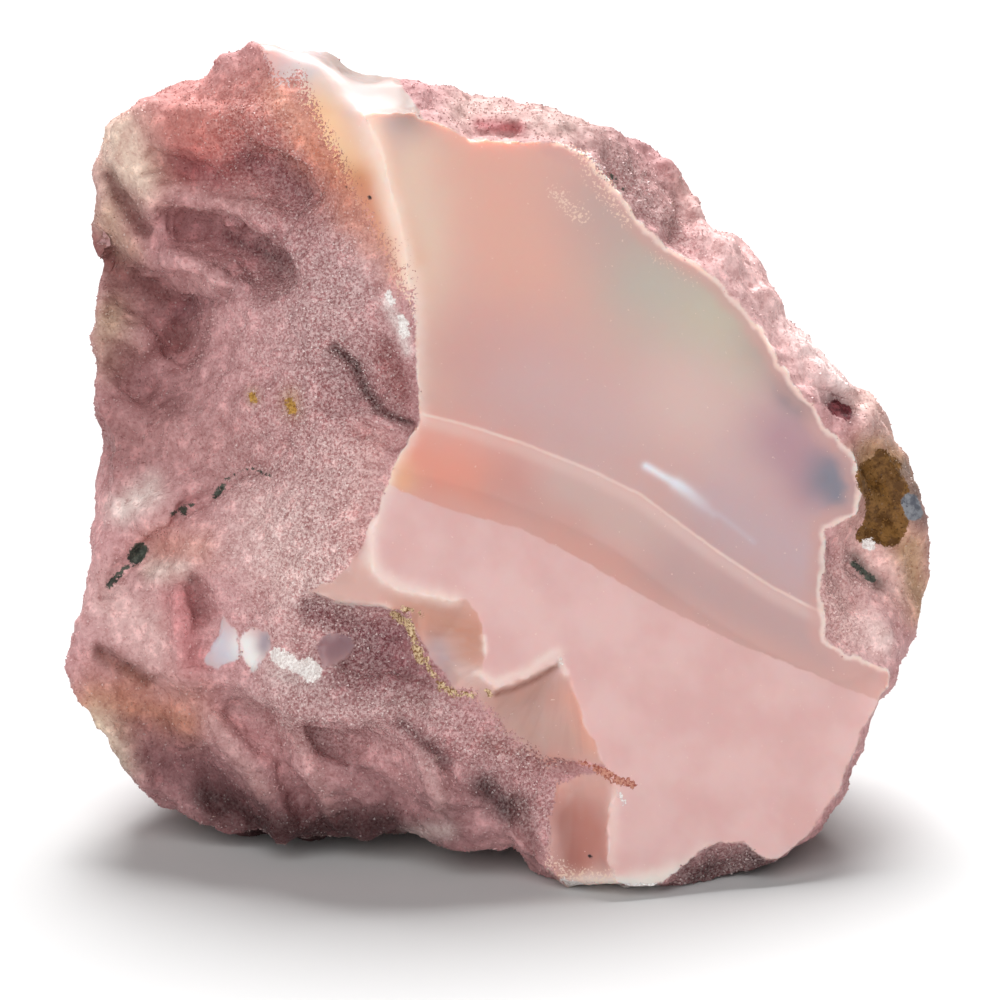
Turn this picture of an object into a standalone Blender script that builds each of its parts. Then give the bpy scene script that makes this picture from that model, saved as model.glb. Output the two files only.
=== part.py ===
# Rough pink opal specimen: one broken piece of stone, a seam of opal in its pink rock.
# Shapes are laid out in millimetres as the specimen shows itself to someone looking at its broken face:
#   across  to the right of its middle
#   up      above its lowest visible edge
#   deep    behind the front of that lowest edge
# The eye is a little above the stone, so these axes lean back from the world's by VIEW_TILT.

import math

import bmesh
import bpy
import numpy as np
from mathutils import Vector, noise

MM = 0.001
VIEW_TILT = math.radians(15.0)
VIEW_DISTANCE = 300.0
VIEW_MIDDLE = 19.5

# Cell sizes of the three rounds of shaping, from the block to the last one
BLOCK_CELL = 0.6
ROCK_CELL = 0.42
FACE_CELL = 0.36
TRIANGLES = 9300

# The level at which the lowest bumps are cut flat, and the size of the block that cuts them
FOOT_LEVEL = -0.65
GROUND_SIDE = 60.0

# Corners of the rough block: across, up, deep
FRONT_CORNERS = [
    (-5.2, 39.2, 0.6),
    (-4.3, 30.0, -0.2),
    (-6.5, 17.0, -1.6),
    (-9.8, 14.6, -0.4),
    (-10.0, 9.6, 0.4),
    (-4.0, 7.6, -0.4),
    (2.2, 1.2, 0.2),
    (7.5, 0.1, 0.2),
    (14.0, 1.4, 4.6),
    (18.0, 7.6, 6.2),
    (20.0, 11.1, 7.4),
    (18.2, 20.5, 8.0),
    (12.2, 29.0, 7.2),
    (5.2, 36.8, 5.8),
    (-2.0, 38.0, 3.4),
]
EDGE_CORNERS = [
    (-9.5, 41.4, 4.0),
    (-12.6, 42.4, 7.2),
    (-16.5, 40.0, 9.0),
    (-19.5, 38.4, 11.0),
    (-20.4, 34.5, 12.0),
    (-20.2, 25.0, 12.0),
    (-20.9, 14.5, 11.0),
    (-21.75, 10.2, 9.5),
    (-20.6, 8.0, 10.0),
    (-18.0, 4.9, 11.5),
    (-13.5, 2.8, 8.6),
    (-8.5, 2.6, 7.6),
    (-3.0, 1.8, 5.4),
    (20.4, 11.5, 10.0),
    (21.6, 15.8, 12.0),
    (21.4, 18.6, 12.5),
    (20.2, 21.8, 13.0),
    (18.5, 24.6, 13.0),
    (14.8, 28.9, 13.0),
    (12.5, 32.2, 13.0),
    (9.6, 35.2, 13.0),
    (8.0, 37.2, 12.0),
    (5.0, 38.3, 12.0),
    (0.5, 39.6, 12.0),
    (-6.5, 40.8, 6.0),
]
BACK_CORNERS = [
    (-17.5, 33.0, 19.0),
    (-18.5, 20.0, 20.5),
    (-17.0, 9.0, 18.0),
    (-10.0, 7.4, 23.0),
    (2.0, 8.4, 25.5),
    (12.0, 7.0, 20.0),
    (15.5, 8.5, 17.5),
    (17.5, 17.0, 20.0),
    (12.0, 26.5, 21.5),
    (4.0, 33.0, 20.5),
    (-6.0, 36.0, 19.0),
    (-4.0, 24.0, 28.0),
    (7.0, 16.0, 27.5),
    (-10.0, 14.0, 26.5),
]

# The corners it stands on, just below the level at which its foot is cut
FOOT_CORNERS = [
    (7.4, 0.1, 3.0),
    (12.6, 2.8, 11.5),
    (11.0, 5.2, 19.4),
    (1.0, 6.1, 22.5),
    (-9.0, 4.9, 20.0),
    (-12.6, 2.8, 13.2),
]

# The stone's whole outline as it shows itself: across, up
SILHOUETTE = [
    (-12.7, 42.4),
    (-14.3, 41.5),
    (-16.5, 40.0),
    (-19.2, 38.8),
    (-20.0, 37.0),
    (-20.4, 34.5),
    (-20.2, 30.5),
    (-20.3, 24.6),
    (-19.7, 23.0),
    (-20.1, 20.5),
    (-20.5, 16.5),
    (-21.0, 13.5),
    (-21.7, 10.2),
    (-20.5, 8.4),
    (-19.2, 6.5),
    (-18.0, 5.0),
    (-16.0, 4.0),
    (-13.5, 2.8),
    (-8.5, 2.6),
    (-5.0, 2.9),
    (-2.5, 2.0),
    (1.0, 1.9),
    (2.2, 1.0),
    (3.0, 0.3),
    (5.0, 0.0),
    (7.5, 0.1),
    (9.5, 0.2),
    (11.0, 0.4),
    (12.2, 1.1),
    (14.0, 1.4),
    (15.2, 2.2),
    (16.5, 3.5),
    (17.2, 4.9),
    (18.2, 7.8),
    (19.5, 10.0),
    (20.3, 11.5),
    (21.2, 14.5),
    (21.6, 16.5),
    (21.2, 19.0),
    (20.3, 21.7),
    (18.8, 24.2),
    (16.8, 26.2),
    (14.7, 28.3),
    (13.5, 30.5),
    (12.2, 32.4),
    (10.2, 33.3),
    (9.5, 35.2),
    (8.0, 37.2),
    (5.0, 38.3),
    (1.0, 39.5),
    (-2.5, 39.8),
    (-6.5, 40.8),
    (-10.0, 42.0),
]
# The point it is drawn in or out from, in how many directions, how finely its own rim is measured and how
# many rounds that takes
SILHOUETTE_MIDDLE = (-1.0, 20.0)
SILHOUETTE_STEPS = 100
SILHOUETTE_PLACES = 1500
SILHOUETTE_ROUNDS = 2

# The broken face of the opal. Each point of its outline is across, up, how steeply the stone falls back
# outside it, and how wide that falling edge is
FACE_OUTLINE = [
    (-6.8, 38.8, 0.6, 3.0),
    (-5.8, 36.5, 0.6, 3.6),
    (-5.0, 33.0, 0.6, 2.6),
    (-4.4, 29.8, 0.4, 3.0),
    (-4.1, 26.5, 0.35, 3.0),
    (-4.1, 23.2, 0.4, 2.6),
    (-5.4, 21.0, 0.4, 2.2),
    (-6.0, 19.2, 0.4, 2.0),
    (-6.5, 17.2, 0.4, 1.8),
    (-6.3, 15.9, 0.4, 2.6),
    (-5.2, 15.0, 0.4, 3.2),
    (-3.6, 14.7, 0.6, 1.6),
    (-1.7, 14.5, 0.8, 2.4),
    (-0.9, 13.2, 0.7, 2.8),
    (-0.7, 12.0, 0.5, 2.8),
    (-1.0, 10.7, 0.45, 2.4),
    (-0.4, 10.1, 0.7, 2.2),
    (0.8, 10.4, 0.9, 2.4),
    (1.9, 10.9, 1.0, 2.8),
    (3.1, 11.6, 1.0, 3.0),
    (3.8, 9.5, 0.7, 3.4),
    (4.5, 7.6, 0.7, 3.2),
    (5.3, 6.1, 0.9, 2.0),
    (5.7, 5.3, 1.0, 1.6),
    (5.4, 3.2, 0.8, 2.8),
    (5.4, 1.4, 0.8, 2.6),
    (5.9, 0.4, 1.0, 1.4),
    (7.6, 0.1, 1.2, 1.0),
    (8.8, 0.9, 1.5, 2.0),
    (9.9, 1.9, 1.7, 3.0),
    (10.8, 2.4, 1.7, 3.0),
    (12.2, 2.4, 1.7, 2.4),
    (12.9, 1.7, 1.5, 1.6),
    (14.0, 1.6, 1.3, 1.0),
    (15.4, 2.7, 1.5, 1.0),
    (17.0, 5.2, 1.5, 1.0),
    (18.1, 8.0, 1.4, 1.0),
    (19.4, 10.2, 1.2, 1.2),
    (19.4, 11.0, 0.8, 3.0),
    (17.7, 11.7, 0.35, 6.0),
    (16.3, 12.5, 0.3, 7.0),
    (16.1, 14.6, 0.3, 7.0),
    (16.3, 18.1, 0.3, 7.0),
    (17.8, 18.8, 0.35, 6.0),
    (18.1, 20.3, 0.4, 6.0),
    (17.5, 22.0, 0.4, 6.0),
    (16.2, 23.2, 0.4, 6.0),
    (15.6, 24.4, 0.4, 6.0),
    (14.6, 25.4, 0.4, 6.0),
    (13.4, 27.6, 0.45, 6.0),
    (12.0, 29.4, 0.45, 6.0),
    (10.4, 31.0, 0.45, 6.0),
    (8.4, 32.1, 0.45, 6.0),
    (6.9, 33.5, 0.5, 6.0),
    (5.7, 35.2, 0.5, 6.0),
    (4.6, 36.6, 0.6, 5.0),
    (2.8, 37.4, 0.8, 4.0),
    (0.4, 37.4, 0.9, 4.0),
    (-1.6, 37.6, 0.9, 4.0),
    (-2.4, 38.0, 0.9, 4.0),
    (-4.4, 38.8, 0.8, 4.0),
]
# The fall beyond those widths, the distance from the face at which the rock may come forward again and how
# steeply, how much lower than its edges the rock is filled to, and how near the outline points are moved
# onto it
EDGE_BEYOND = 0.25
EDGE_FREE = 4.4
EDGE_RELEASE = 0.6
EDGE_FILL = 0.5
EDGE_SNAP = 0.2

# The face's plane, and the crest across it, with a hollow above and a band below that steps back
FACE_REACH = 3.0
FACE_DEEP = 0.2
FACE_TURN = 0.27
FACE_LEAN = 0.085
CREST_LINE = [
    (-4.6, 24.0),
    (-1.5, 23.2),
    (1.0, 22.4),
    (4.5, 21.0),
    (7.0, 19.8),
    (10.5, 17.2),
    (13.5, 15.2),
    (17.0, 13.4),
]
UPPER_HOLLOW = 0.95
UPPER_HOLLOW_REACH = 3.6
BAND_SLOPE = 0.2
BAND_WIDTH = 3.0
BAND_FADE = 6.0

# Pits, trenches and creases of the rock: a run of points (across, up), how wide, and how far each goes in
DENTS = [
    ([(-20.6, 32.2), (-18.8, 30.4), (-17.0, 29.6), (-16.0, 28.0), (-16.6, 26.0)], 1.9, 2.5),
    ([(-19.4, 27.0), (-17.9, 24.9)], 1.3, 1.4),
    ([(-15.4, 33.0), (-13.4, 32.2), (-11.6, 31.2)], 1.5, 1.5),
    ([(-12.0, 36.0), (-10.4, 35.0)], 1.4, 1.1),
    ([(-15.4, 36.2), (-14.2, 35.3)], 0.9, 0.9),
    ([(-19.4, 35.6), (-18.6, 34.0), (-17.8, 32.6)], 0.7, 1.2),
    ([(-8.0, 26.9), (-7.1, 25.9), (-7.3, 24.9)], 0.6, 0.7),
    ([(-18.8, 22.2), (-14.6, 21.2)], 2.4, 1.2),
    ([(-10.8, 21.9), (-12.2, 20.8), (-13.4, 20.6), (-15.9, 18.9), (-18.1, 16.8), (-20.0, 15.1)], 0.7, 0.8),
    ([(-18.3, 16.9), (-17.9, 16.6)], 1.0, 0.9),
    ([(-15.5, 15.3), (-14.9, 13.7)], 0.7, 1.1),
    ([(-6.8, 11.8), (-4.4, 11.5), (-3.2, 10.8)], 1.2, 0.9),
    ([(-17.4, 7.8), (-15.0, 5.6), (-12.8, 3.6)], 1.3, 1.3),
    ([(-12.8, 8.6), (-11.2, 6.2), (-10.0, 4.2)], 1.0, 1.2),
    ([(-9.2, 7.4), (-7.8, 7.0)], 0.9, 1.2),
    ([(-6.4, 6.8), (-5.4, 5.2), (-5.0, 3.6)], 1.0, 1.4),
    ([(-2.2, 6.0), (0.0, 4.2), (0.8, 3.0)], 1.1, 0.8),
    ([(5.5, 35.9), (6.1, 35.0)], 0.4, 0.8),
    ([(7.6, 37.2), (8.6, 35.0), (9.4, 33.6)], 0.9, 1.0),
    ([(16.4, 24.5), (17.5, 23.9)], 0.7, 1.3),
    ([(18.4, 21.2), (19.4, 20.0), (18.6, 18.4), (17.7, 17.9)], 1.1, 1.4),
    ([(17.6, 16.7), (18.8, 15.3)], 0.6, 0.8),
    ([(-1.0, 38.3), (0.6, 38.2)], 0.45, 0.7),
]

# Lobes and ribs that stand out of the rock, in the same form
LUMPS = [
    ([(-15.6, 38.2), (-12.6, 37.8)], 1.9, 1.0),
    ([(-17.4, 34.8), (-14.2, 34.4), (-12.0, 33.4)], 1.1, 0.9),
    ([(-15.6, 31.5), (-14.0, 30.7)], 1.4, 1.5),
    ([(-6.3, 25.4), (-5.2, 24.7)], 1.0, 0.5),
    ([(-18.6, 18.6), (-17.3, 19.8)], 1.1, 0.9),
    ([(-16.1, 12.2), (-15.7, 14.2)], 0.9, 0.9),
    ([(-15.4, 10.4), (-13.3, 7.0), (-11.4, 4.7), (-10.7, 3.4)], 0.9, 1.1),
    ([(-10.3, 8.4), (-9.2, 5.9), (-8.1, 3.6)], 0.8, 1.1),
    ([(-5.0, 8.4), (-3.6, 6.1), (-2.8, 3.6)], 0.8, 1.1),
    ([(10.6, 33.6), (12.2, 31.2)], 1.1, 0.7),
    ([(16.6, 26.0), (17.4, 25.2)], 0.8, 0.6),
    ([(18.7, 13.1), (19.2, 12.6)], 1.0, 0.7),
]

# Overhanging edges. On the right of each run, going along it, the rock steps back by the depth and comes
# out again over the reach
LEDGES = [
    ([(-9.3, 14.8), (-7.7, 14.4), (-5.4, 13.9), (-4.4, 13.9)], 1.5, 2.6),
    ([(-7.9, 24.5), (-6.3, 23.7), (-4.6, 23.4)], 1.0, 1.4),
    ([(-16.2, 37.0), (-14.6, 35.7), (-13.4, 35.3)], 0.9, 1.4),
    ([(-12.6, 37.0), (-10.8, 36.7), (-9.7, 35.8), (-9.4, 34.4)], 0.9, 1.8),
    ([(-16.4, 34.0), (-13.6, 33.6), (-12.3, 32.5), (-10.8, 31.7)], 1.1, 2.0),
    ([(-20.6, 32.9), (-18.6, 31.2), (-16.6, 30.4), (-15.2, 29.2)], 1.2, 2.2),
    ([(-20.2, 11.9), (-17.6, 10.4)], 0.9, 1.2),
    ([(-14.8, 10.4), (-12.9, 10.2), (-11.4, 9.4), (-8.6, 8.5), (-5.4, 8.7), (-2.6, 8.0)], 0.7, 2.8),
]
DENT_SPREAD = 1.6
LEDGE_LIP = 0.75
LEDGE_END = 1.8
WANDER = 0.6
WANDER_SIZE = 2.4
WANDER_SEED = 7

# Shell-shaped scars where flakes have come off the back and sides: across, up, deep, then the scar's radius
# and depth. Its rim reaches a little beyond the radius
FLAKE_SCARS = [
    (-10.0, 24.0, 25.5, 8.0, 2.2),
    (8.0, 24.0, 24.5, 7.0, 1.8),
    (0.0, 11.0, 26.5, 6.0, 1.4),
    (-19.5, 26.0, 17.5, 6.0, 1.6),
    (18.5, 14.0, 17.0, 5.0, 1.2),
    (-2.0, 38.0, 16.0, 6.0, 1.3),
    (10.0, 31.5, 18.5, 5.0, 1.2),
]
FLAKE_SOFTNESS = 0.15

# The rock's own roughness: lumps, chipped bowls and fine grain, and how much of it the front keeps
COARSE_LUMP = 5.5
COARSE_HEIGHT = 0.5
CHIP_SIZE = 3.4
CHIP_HEIGHT = 1.1
CHIP_LEVEL = 0.4
FINE_LUMP = 1.3
FINE_HEIGHT = 0.14
FRONT_ROUGHNESS = 0.65
NOISE_PLACE = Vector((31.0, 7.0, 53.0))

# How squarely the stone must face the eye to count as its front, and how much of that the filling, the
# face and the snapping of points to its outline each ask for
FRONT_FULL = 0.5
FRONT_FILLED = 0.02
FRONT_BROKEN = 0.1
FRONT_SNAPPED = 0.6

FAR_AWAY = 1e9
SHARP_ANGLE = math.radians(35.0)
PINK_ROCK = (0.55, 0.30, 0.29, 1.0)
ROCK_ROUGHNESS = 0.6


def clear_scene():
    for old in list(bpy.data.objects):
        bpy.data.objects.remove(old)


def to_world(points):
    """View millimetres (across, up, deep) to world metres, widening with depth as the eye sees it."""
    across, up, deep = np.asarray(points, float).T
    widening = 1.0 + deep / VIEW_DISTANCE
    side = across * widening
    rise = VIEW_MIDDLE + (up - VIEW_MIDDLE) * widening
    y = rise * math.sin(VIEW_TILT) + deep * math.cos(VIEW_TILT)
    z = rise * math.cos(VIEW_TILT) - deep * math.sin(VIEW_TILT)
    return np.column_stack([side, y, z]) * MM


def to_view(points):
    """World metres back to view millimetres."""
    x, y, z = np.asarray(points, float).T / MM
    deep = y * math.cos(VIEW_TILT) - z * math.sin(VIEW_TILT)
    rise = y * math.sin(VIEW_TILT) + z * math.cos(VIEW_TILT)
    widening = 1.0 + deep / VIEW_DISTANCE
    return np.column_stack([x / widening, VIEW_MIDDLE + (rise - VIEW_MIDDLE) / widening, deep])


def smooth(t):
    """0 to 1 with level ends."""
    t = np.clip(t, 0.0, 1.0)
    return t * t * (3.0 - 2.0 * t)


def distance_to_line(spots, line, closed=False):
    """How far each (across, up) spot is from a run of points, and how far along it the nearest is."""
    ends = [np.array(p[:2], float) for p in line]
    if closed:
        ends.append(ends[0])
    nearest = np.full(len(spots), FAR_AWAY)
    place = np.zeros(len(spots))
    for i, (start, end) in enumerate(zip(ends[:-1], ends[1:])):
        run = end - start
        share = np.clip(((spots - start) @ run) / (run @ run), 0.0, 1.0)
        gap = np.linalg.norm(spots - (start + share[:, None] * run), axis=1)
        closer = gap < nearest
        nearest[closer] = gap[closer]
        place[closer] = (i + share)[closer]
    return nearest, place


def falling_edge(spots):
    """How far behind the face the stone may at most stand near each spot outside its outline."""
    behind = np.full(len(spots), FAR_AWAY)
    for start, end in zip(FACE_OUTLINE, FACE_OUTLINE[1:] + FACE_OUTLINE[:1]):
        gap, share = distance_to_line(spots, [start, end])
        fall = start[2] + share * (end[2] - start[2])
        width = start[3] + share * (end[3] - start[3])
        edge = fall * np.minimum(gap, width) + EDGE_BEYOND * np.maximum(gap - width, 0.0)
        behind = np.minimum(behind, edge)
    return behind


def at_place(line, place):
    """The (across, up) point at each place along a closed run of points."""
    corners = np.array([p[:2] for p in line + line[:1]], float)
    numbers = np.arange(len(corners))
    across = np.interp(place, numbers, corners[:, 0])
    up = np.interp(place, numbers, corners[:, 1])
    return np.column_stack([across, up])


def right_of_line(spots, line):
    """How far each spot lies to the right of a run of points (negative to its left), and past its ends."""
    gap, place = distance_to_line(spots, line)
    corners = np.array(line, float)
    number = np.minimum(place.astype(int), len(line) - 2)
    run = corners[number + 1] - corners[number]
    run /= np.linalg.norm(run, axis=1)[:, None]
    off = spots - corners[number]
    side = off[:, 0] * run[:, 1] - off[:, 1] * run[:, 0]
    past = np.sqrt(np.maximum(gap**2 - side**2, 0.0))
    return np.where(side > 0, 1.0, -1.0) * gap, past


def inside_outline(spots, outline):
    """Whether each spot is inside a closed outline, by counting the edges to its right."""
    x, y = spots.T
    inside = np.zeros(len(spots), bool)
    for start, end in zip(outline, outline[1:] + outline[:1]):
        x0, y0 = start[:2]
        x1, y1 = end[:2]
        if y0 == y1:
            continue
        crosses = (y0 > y) != (y1 > y)
        inside ^= crosses & (x < (x1 - x0) * (y - y0) / (y1 - y0) + x0)
    return inside


def face_deep(spots):
    """The opal's broken face: a leaning plane, hollow above the crest and stepping back below it."""
    across, up = spots.T
    deep = FACE_DEEP + FACE_TURN * across + FACE_LEAN * (up - VIEW_MIDDLE)
    gap, _ = distance_to_line(spots, CREST_LINE)
    crest = np.array(CREST_LINE)
    above = up > np.interp(across, crest[:, 0], crest[:, 1])
    reach = gap / UPPER_HOLLOW_REACH
    hollow = UPPER_HOLLOW * reach * np.exp(1.0 - reach)
    beyond = np.maximum(gap - BAND_WIDTH, 0.0)
    band = BAND_SLOPE * np.minimum(gap, BAND_WIDTH) * np.exp(-beyond / BAND_FADE)
    return deep + np.where(above, hollow, band)


def fractal(points, size, octaves):
    """Smooth lumpy noise of that size, about -1 to 1."""
    return np.array([noise.fractal(Vector(p / size) + NOISE_PLACE, 1.0, 2.0, octaves) for p in points])


def chipped(points, size):
    """Shallow bowls of that size, 0 in their middles, meeting in sharp ridges of about 1."""
    return np.array([noise.voronoi(Vector(p / size) + NOISE_PLACE)[0][0] ** 2 for p in points])


def wander(points, size):
    """A sideways push for each point, changing over that size, to keep drawn lines from running true."""
    noise.seed_set(WANDER_SEED)
    return np.array([noise.noise_vector(Vector(p / size) + NOISE_PLACE)[:2] for p in points])


def mesh_of(obj):
    """The object's mesh with its modifiers applied."""
    graph = bpy.context.evaluated_depsgraph_get()
    return bpy.data.meshes.new_from_object(obj.evaluated_get(graph))


def points_of(mesh):
    points = np.empty(len(mesh.vertices) * 3)
    mesh.vertices.foreach_get("co", points)
    return points.reshape(-1, 3)


def normals_of(mesh):
    normals = np.empty(len(mesh.vertices) * 3)
    mesh.vertex_normals.foreach_get("vector", normals)
    return normals.reshape(-1, 3)


def set_points(mesh, points):
    mesh.vertices.foreach_set("co", np.asarray(points, np.float32).ravel())
    mesh.update()


def rough_block():
    """The hull of the stone's corners."""
    shell = bmesh.new()
    for place in to_world(FRONT_CORNERS + EDGE_CORNERS + BACK_CORNERS + FOOT_CORNERS):
        shell.verts.new(place)
    hull = bmesh.ops.convex_hull(shell, input=shell.verts)
    inner = [v for v in hull["geom_interior"] if isinstance(v, bmesh.types.BMVert)]
    bmesh.ops.delete(shell, geom=inner, context="VERTS")
    mesh = bpy.data.meshes.new("rough_opal")
    shell.to_mesh(mesh)
    shell.free()
    return mesh


def resampled(obj, cell):
    """Replaces the object's mesh by an even one, with cells of that many millimetres."""
    even = obj.modifiers.new("even cells", "REMESH")
    even.mode = "VOXEL"
    even.voxel_size = cell * MM
    mesh = mesh_of(obj)
    obj.modifiers.remove(even)
    obj.data = mesh


def knock_flakes(mesh):
    """Pushes the flake scars into the back and sides."""
    points = points_of(mesh)
    normals = normals_of(mesh)
    for across, up, deep, radius, depth in FLAKE_SCARS:
        centre = to_world([(across, up, deep)])[0]
        gap = np.linalg.norm(points - centre, axis=1) / (radius * MM)
        points -= normals * (depth * MM * smooth(1.0 + FLAKE_SOFTNESS - gap))[:, None]
    set_points(mesh, points)


def shape_front(mesh):
    """Presses the dents, raises the lumps and undercuts the ledges, all as seen from the front."""
    view = to_view(points_of(mesh))
    front = frontness(normals_of(mesh))
    spots = view[:, :2] + WANDER * wander(view, WANDER_SIZE)
    for runs, sign in ((DENTS, 1.0), (LUMPS, -1.0)):
        for line, width, depth in runs:
            gap, _ = distance_to_line(spots, line)
            view[:, 2] += sign * depth * front * smooth(1.0 - gap / (DENT_SPREAD * width))
    for line, depth, reach in LEDGES:
        inward, past = right_of_line(spots, line)
        step = smooth(inward / LEDGE_LIP) * smooth(1.0 - (inward - LEDGE_LIP) / reach)
        view[:, 2] += depth * front * step * smooth(1.0 - past / LEDGE_END)
    set_points(mesh, to_world(view))


def frontness(normals):
    """1 where the stone faces the eye, 0 where it turns away."""
    facing = normals @ np.array([0.0, -math.cos(VIEW_TILT), math.sin(VIEW_TILT)])
    return smooth(facing / FRONT_FULL)


def fill_to_face(mesh):
    """Brings the block out to the broken face, and to a slope that falls away from it all round."""
    view = to_view(points_of(mesh))
    front = frontness(normals_of(mesh)) > FRONT_FILLED
    spots = view[:, :2]
    gap, _ = distance_to_line(spots, FACE_OUTLINE, closed=True)
    slope = np.where(inside_outline(spots, FACE_OUTLINE), 0.0, falling_edge(spots) + EDGE_FILL * gap)
    filled = np.minimum(view[:, 2], face_deep(spots) + slope)
    view[:, 2] = np.where(front, filled, view[:, 2])
    set_points(mesh, to_world(view))


def roughen(mesh):
    """Lumps and chips over the whole rock, lighter at the front, where the shapes above already make it."""
    points = points_of(mesh)
    normals = normals_of(mesh)
    view = to_view(points)
    height = COARSE_HEIGHT * fractal(view, COARSE_LUMP, 3)
    height += CHIP_HEIGHT * (chipped(view, CHIP_SIZE) - CHIP_LEVEL)
    height *= 1.0 - (1.0 - FRONT_ROUGHNESS) * frontness(normals)
    height += FINE_HEIGHT * fractal(view, FINE_LUMP, 3)
    set_points(mesh, points + normals * (height * MM)[:, None])


def fit_silhouette(mesh):
    """Draws the stone's rim in or out, as seen from the front, onto the silhouette."""
    corners = np.array(SILHOUETTE + SILHOUETTE[:1]) - SILHOUETTE_MIDDLE
    places = np.linspace(0.0, len(SILHOUETTE), SILHOUETTE_PLACES)
    numbers = np.arange(len(corners))
    across = np.interp(places, numbers, corners[:, 0])
    up = np.interp(places, numbers, corners[:, 1])
    outline = np.column_stack([across, up])
    step_angles = np.linspace(-math.pi, math.pi, SILHOUETTE_STEPS, endpoint=False)
    step_angles += math.pi / SILHOUETTE_STEPS

    def furthest(angles, radii):
        rim = np.zeros(SILHOUETTE_STEPS)
        step = ((angles + math.pi) / (2.0 * math.pi) * SILHOUETTE_STEPS).astype(int) % SILHOUETTE_STEPS
        np.maximum.at(rim, step, radii)
        return rim

    wanted = furthest(np.arctan2(outline[:, 1], outline[:, 0]), np.hypot(*outline.T))
    view = to_view(points_of(mesh))
    spots = view[:, :2] - SILHOUETTE_MIDDLE
    for _ in range(SILHOUETTE_ROUNDS):
        radii = np.hypot(*spots.T)
        angles = np.arctan2(spots[:, 1], spots[:, 0])
        rim = furthest(angles, radii)
        stretch = np.interp(angles, step_angles, wanted / rim, period=2.0 * math.pi)
        here = np.interp(angles, step_angles, rim, period=2.0 * math.pi)
        nearness = smooth(2.0 * radii / here - 1.0)
        spots *= (1.0 + (stretch - 1.0) * nearness)[:, None]
    view[:, :2] = spots + SILHOUETTE_MIDDLE
    set_points(mesh, to_world(view))


def break_face(mesh):
    """Lays the stone's front onto the broken face, and behind its falling edges outside its outline."""
    view = to_view(points_of(mesh))
    front = frontness(normals_of(mesh))
    gap, place = distance_to_line(view[:, :2], FACE_OUTLINE, closed=True)
    near = (front > FRONT_SNAPPED) & (gap < EDGE_SNAP)
    view[near, :2] = at_place(FACE_OUTLINE, place[near])
    spots = view[:, :2]
    inside = inside_outline(spots, FACE_OUTLINE) | near
    behind = falling_edge(spots) - EDGE_RELEASE * np.maximum(gap - EDGE_FREE, 0.0)
    target = face_deep(spots)
    onto = inside & (front > FRONT_BROKEN) & (view[:, 2] < target + FACE_REACH)
    no_nearer = np.maximum(view[:, 2], target + np.where(inside, 0.0, behind))
    view[:, 2] = np.where(onto, target, no_nearer)
    set_points(mesh, to_world(view))


def thinned(obj, triangles):
    """Fewer triangles, kept where the shape needs them."""
    mesh = obj.data
    shape = bmesh.new()
    shape.from_mesh(mesh)
    bmesh.ops.triangulate(shape, faces=shape.faces)
    shape.to_mesh(mesh)
    shape.free()
    fewer = obj.modifiers.new("fewer", "DECIMATE")
    fewer.ratio = triangles / len(mesh.polygons)
    obj.data = mesh_of(obj)
    obj.modifiers.remove(fewer)


def flat_foot(obj):
    """Cuts the lowest bumps off level, so that it stands, and puts the cut at z = 0 under its middle."""
    ground = bmesh.new()
    bmesh.ops.create_cube(ground, size=2.0 * GROUND_SIDE * MM)
    bmesh.ops.translate(ground, vec=(0, 0, (FOOT_LEVEL - GROUND_SIDE) * MM), verts=ground.verts)
    block = bpy.data.objects.new("ground", bpy.data.meshes.new("ground"))
    ground.to_mesh(block.data)
    ground.free()
    bpy.context.scene.collection.objects.link(block)
    cut = obj.modifiers.new("foot", "BOOLEAN")
    cut.operation = "DIFFERENCE"
    cut.solver = "EXACT"
    cut.object = block
    obj.data = mesh_of(obj)
    obj.modifiers.remove(cut)
    bpy.data.objects.remove(block)
    shape = bmesh.new()
    shape.from_mesh(obj.data)
    bmesh.ops.triangulate(shape, faces=shape.faces)
    shape.to_mesh(obj.data)
    shape.free()
    points = points_of(obj.data)
    middle = (points.min(0) + points.max(0)) / 2.0
    foot = np.array([middle[0], middle[1], points[:, 2].min()])
    set_points(obj.data, points - foot)
    return foot


def stone_material():
    material = bpy.data.materials.new("pink_opal_rock")
    material.use_nodes = True
    shader = material.node_tree.nodes["Principled BSDF"]
    shader.inputs["Base Color"].default_value = PINK_ROCK
    shader.inputs["Roughness"].default_value = ROCK_ROUGHNESS
    shader.inputs["Metallic"].default_value = 0.0
    return material


def main():
    clear_scene()
    stone = bpy.data.objects.new("rough_opal", rough_block())
    shelf = bpy.data.collections.new("rough_opal_specimen")
    bpy.context.scene.collection.children.link(shelf)
    shelf.objects.link(stone)
    resampled(stone, BLOCK_CELL)
    knock_flakes(stone.data)
    fill_to_face(stone.data)
    resampled(stone, ROCK_CELL)
    shape_front(stone.data)
    resampled(stone, FACE_CELL)
    roughen(stone.data)
    fit_silhouette(stone.data)
    break_face(stone.data)
    thinned(stone, TRIANGLES)
    stone["foot_middle"] = list(flat_foot(stone))
    stone.data.materials.append(stone_material())
    stone.data.shade_smooth()
    stone.data.set_sharp_from_angle(angle=SHARP_ANGLE)


main()
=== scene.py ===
# Rough pink opal: a broken lump of stone with a milky opal face in grainy mauve rock.
# Places on the stone are millimetres as it shows itself to the camera: across to the right, up, and deep.
import math

import bmesh
import bpy
import numpy as np
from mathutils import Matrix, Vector, noise


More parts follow.
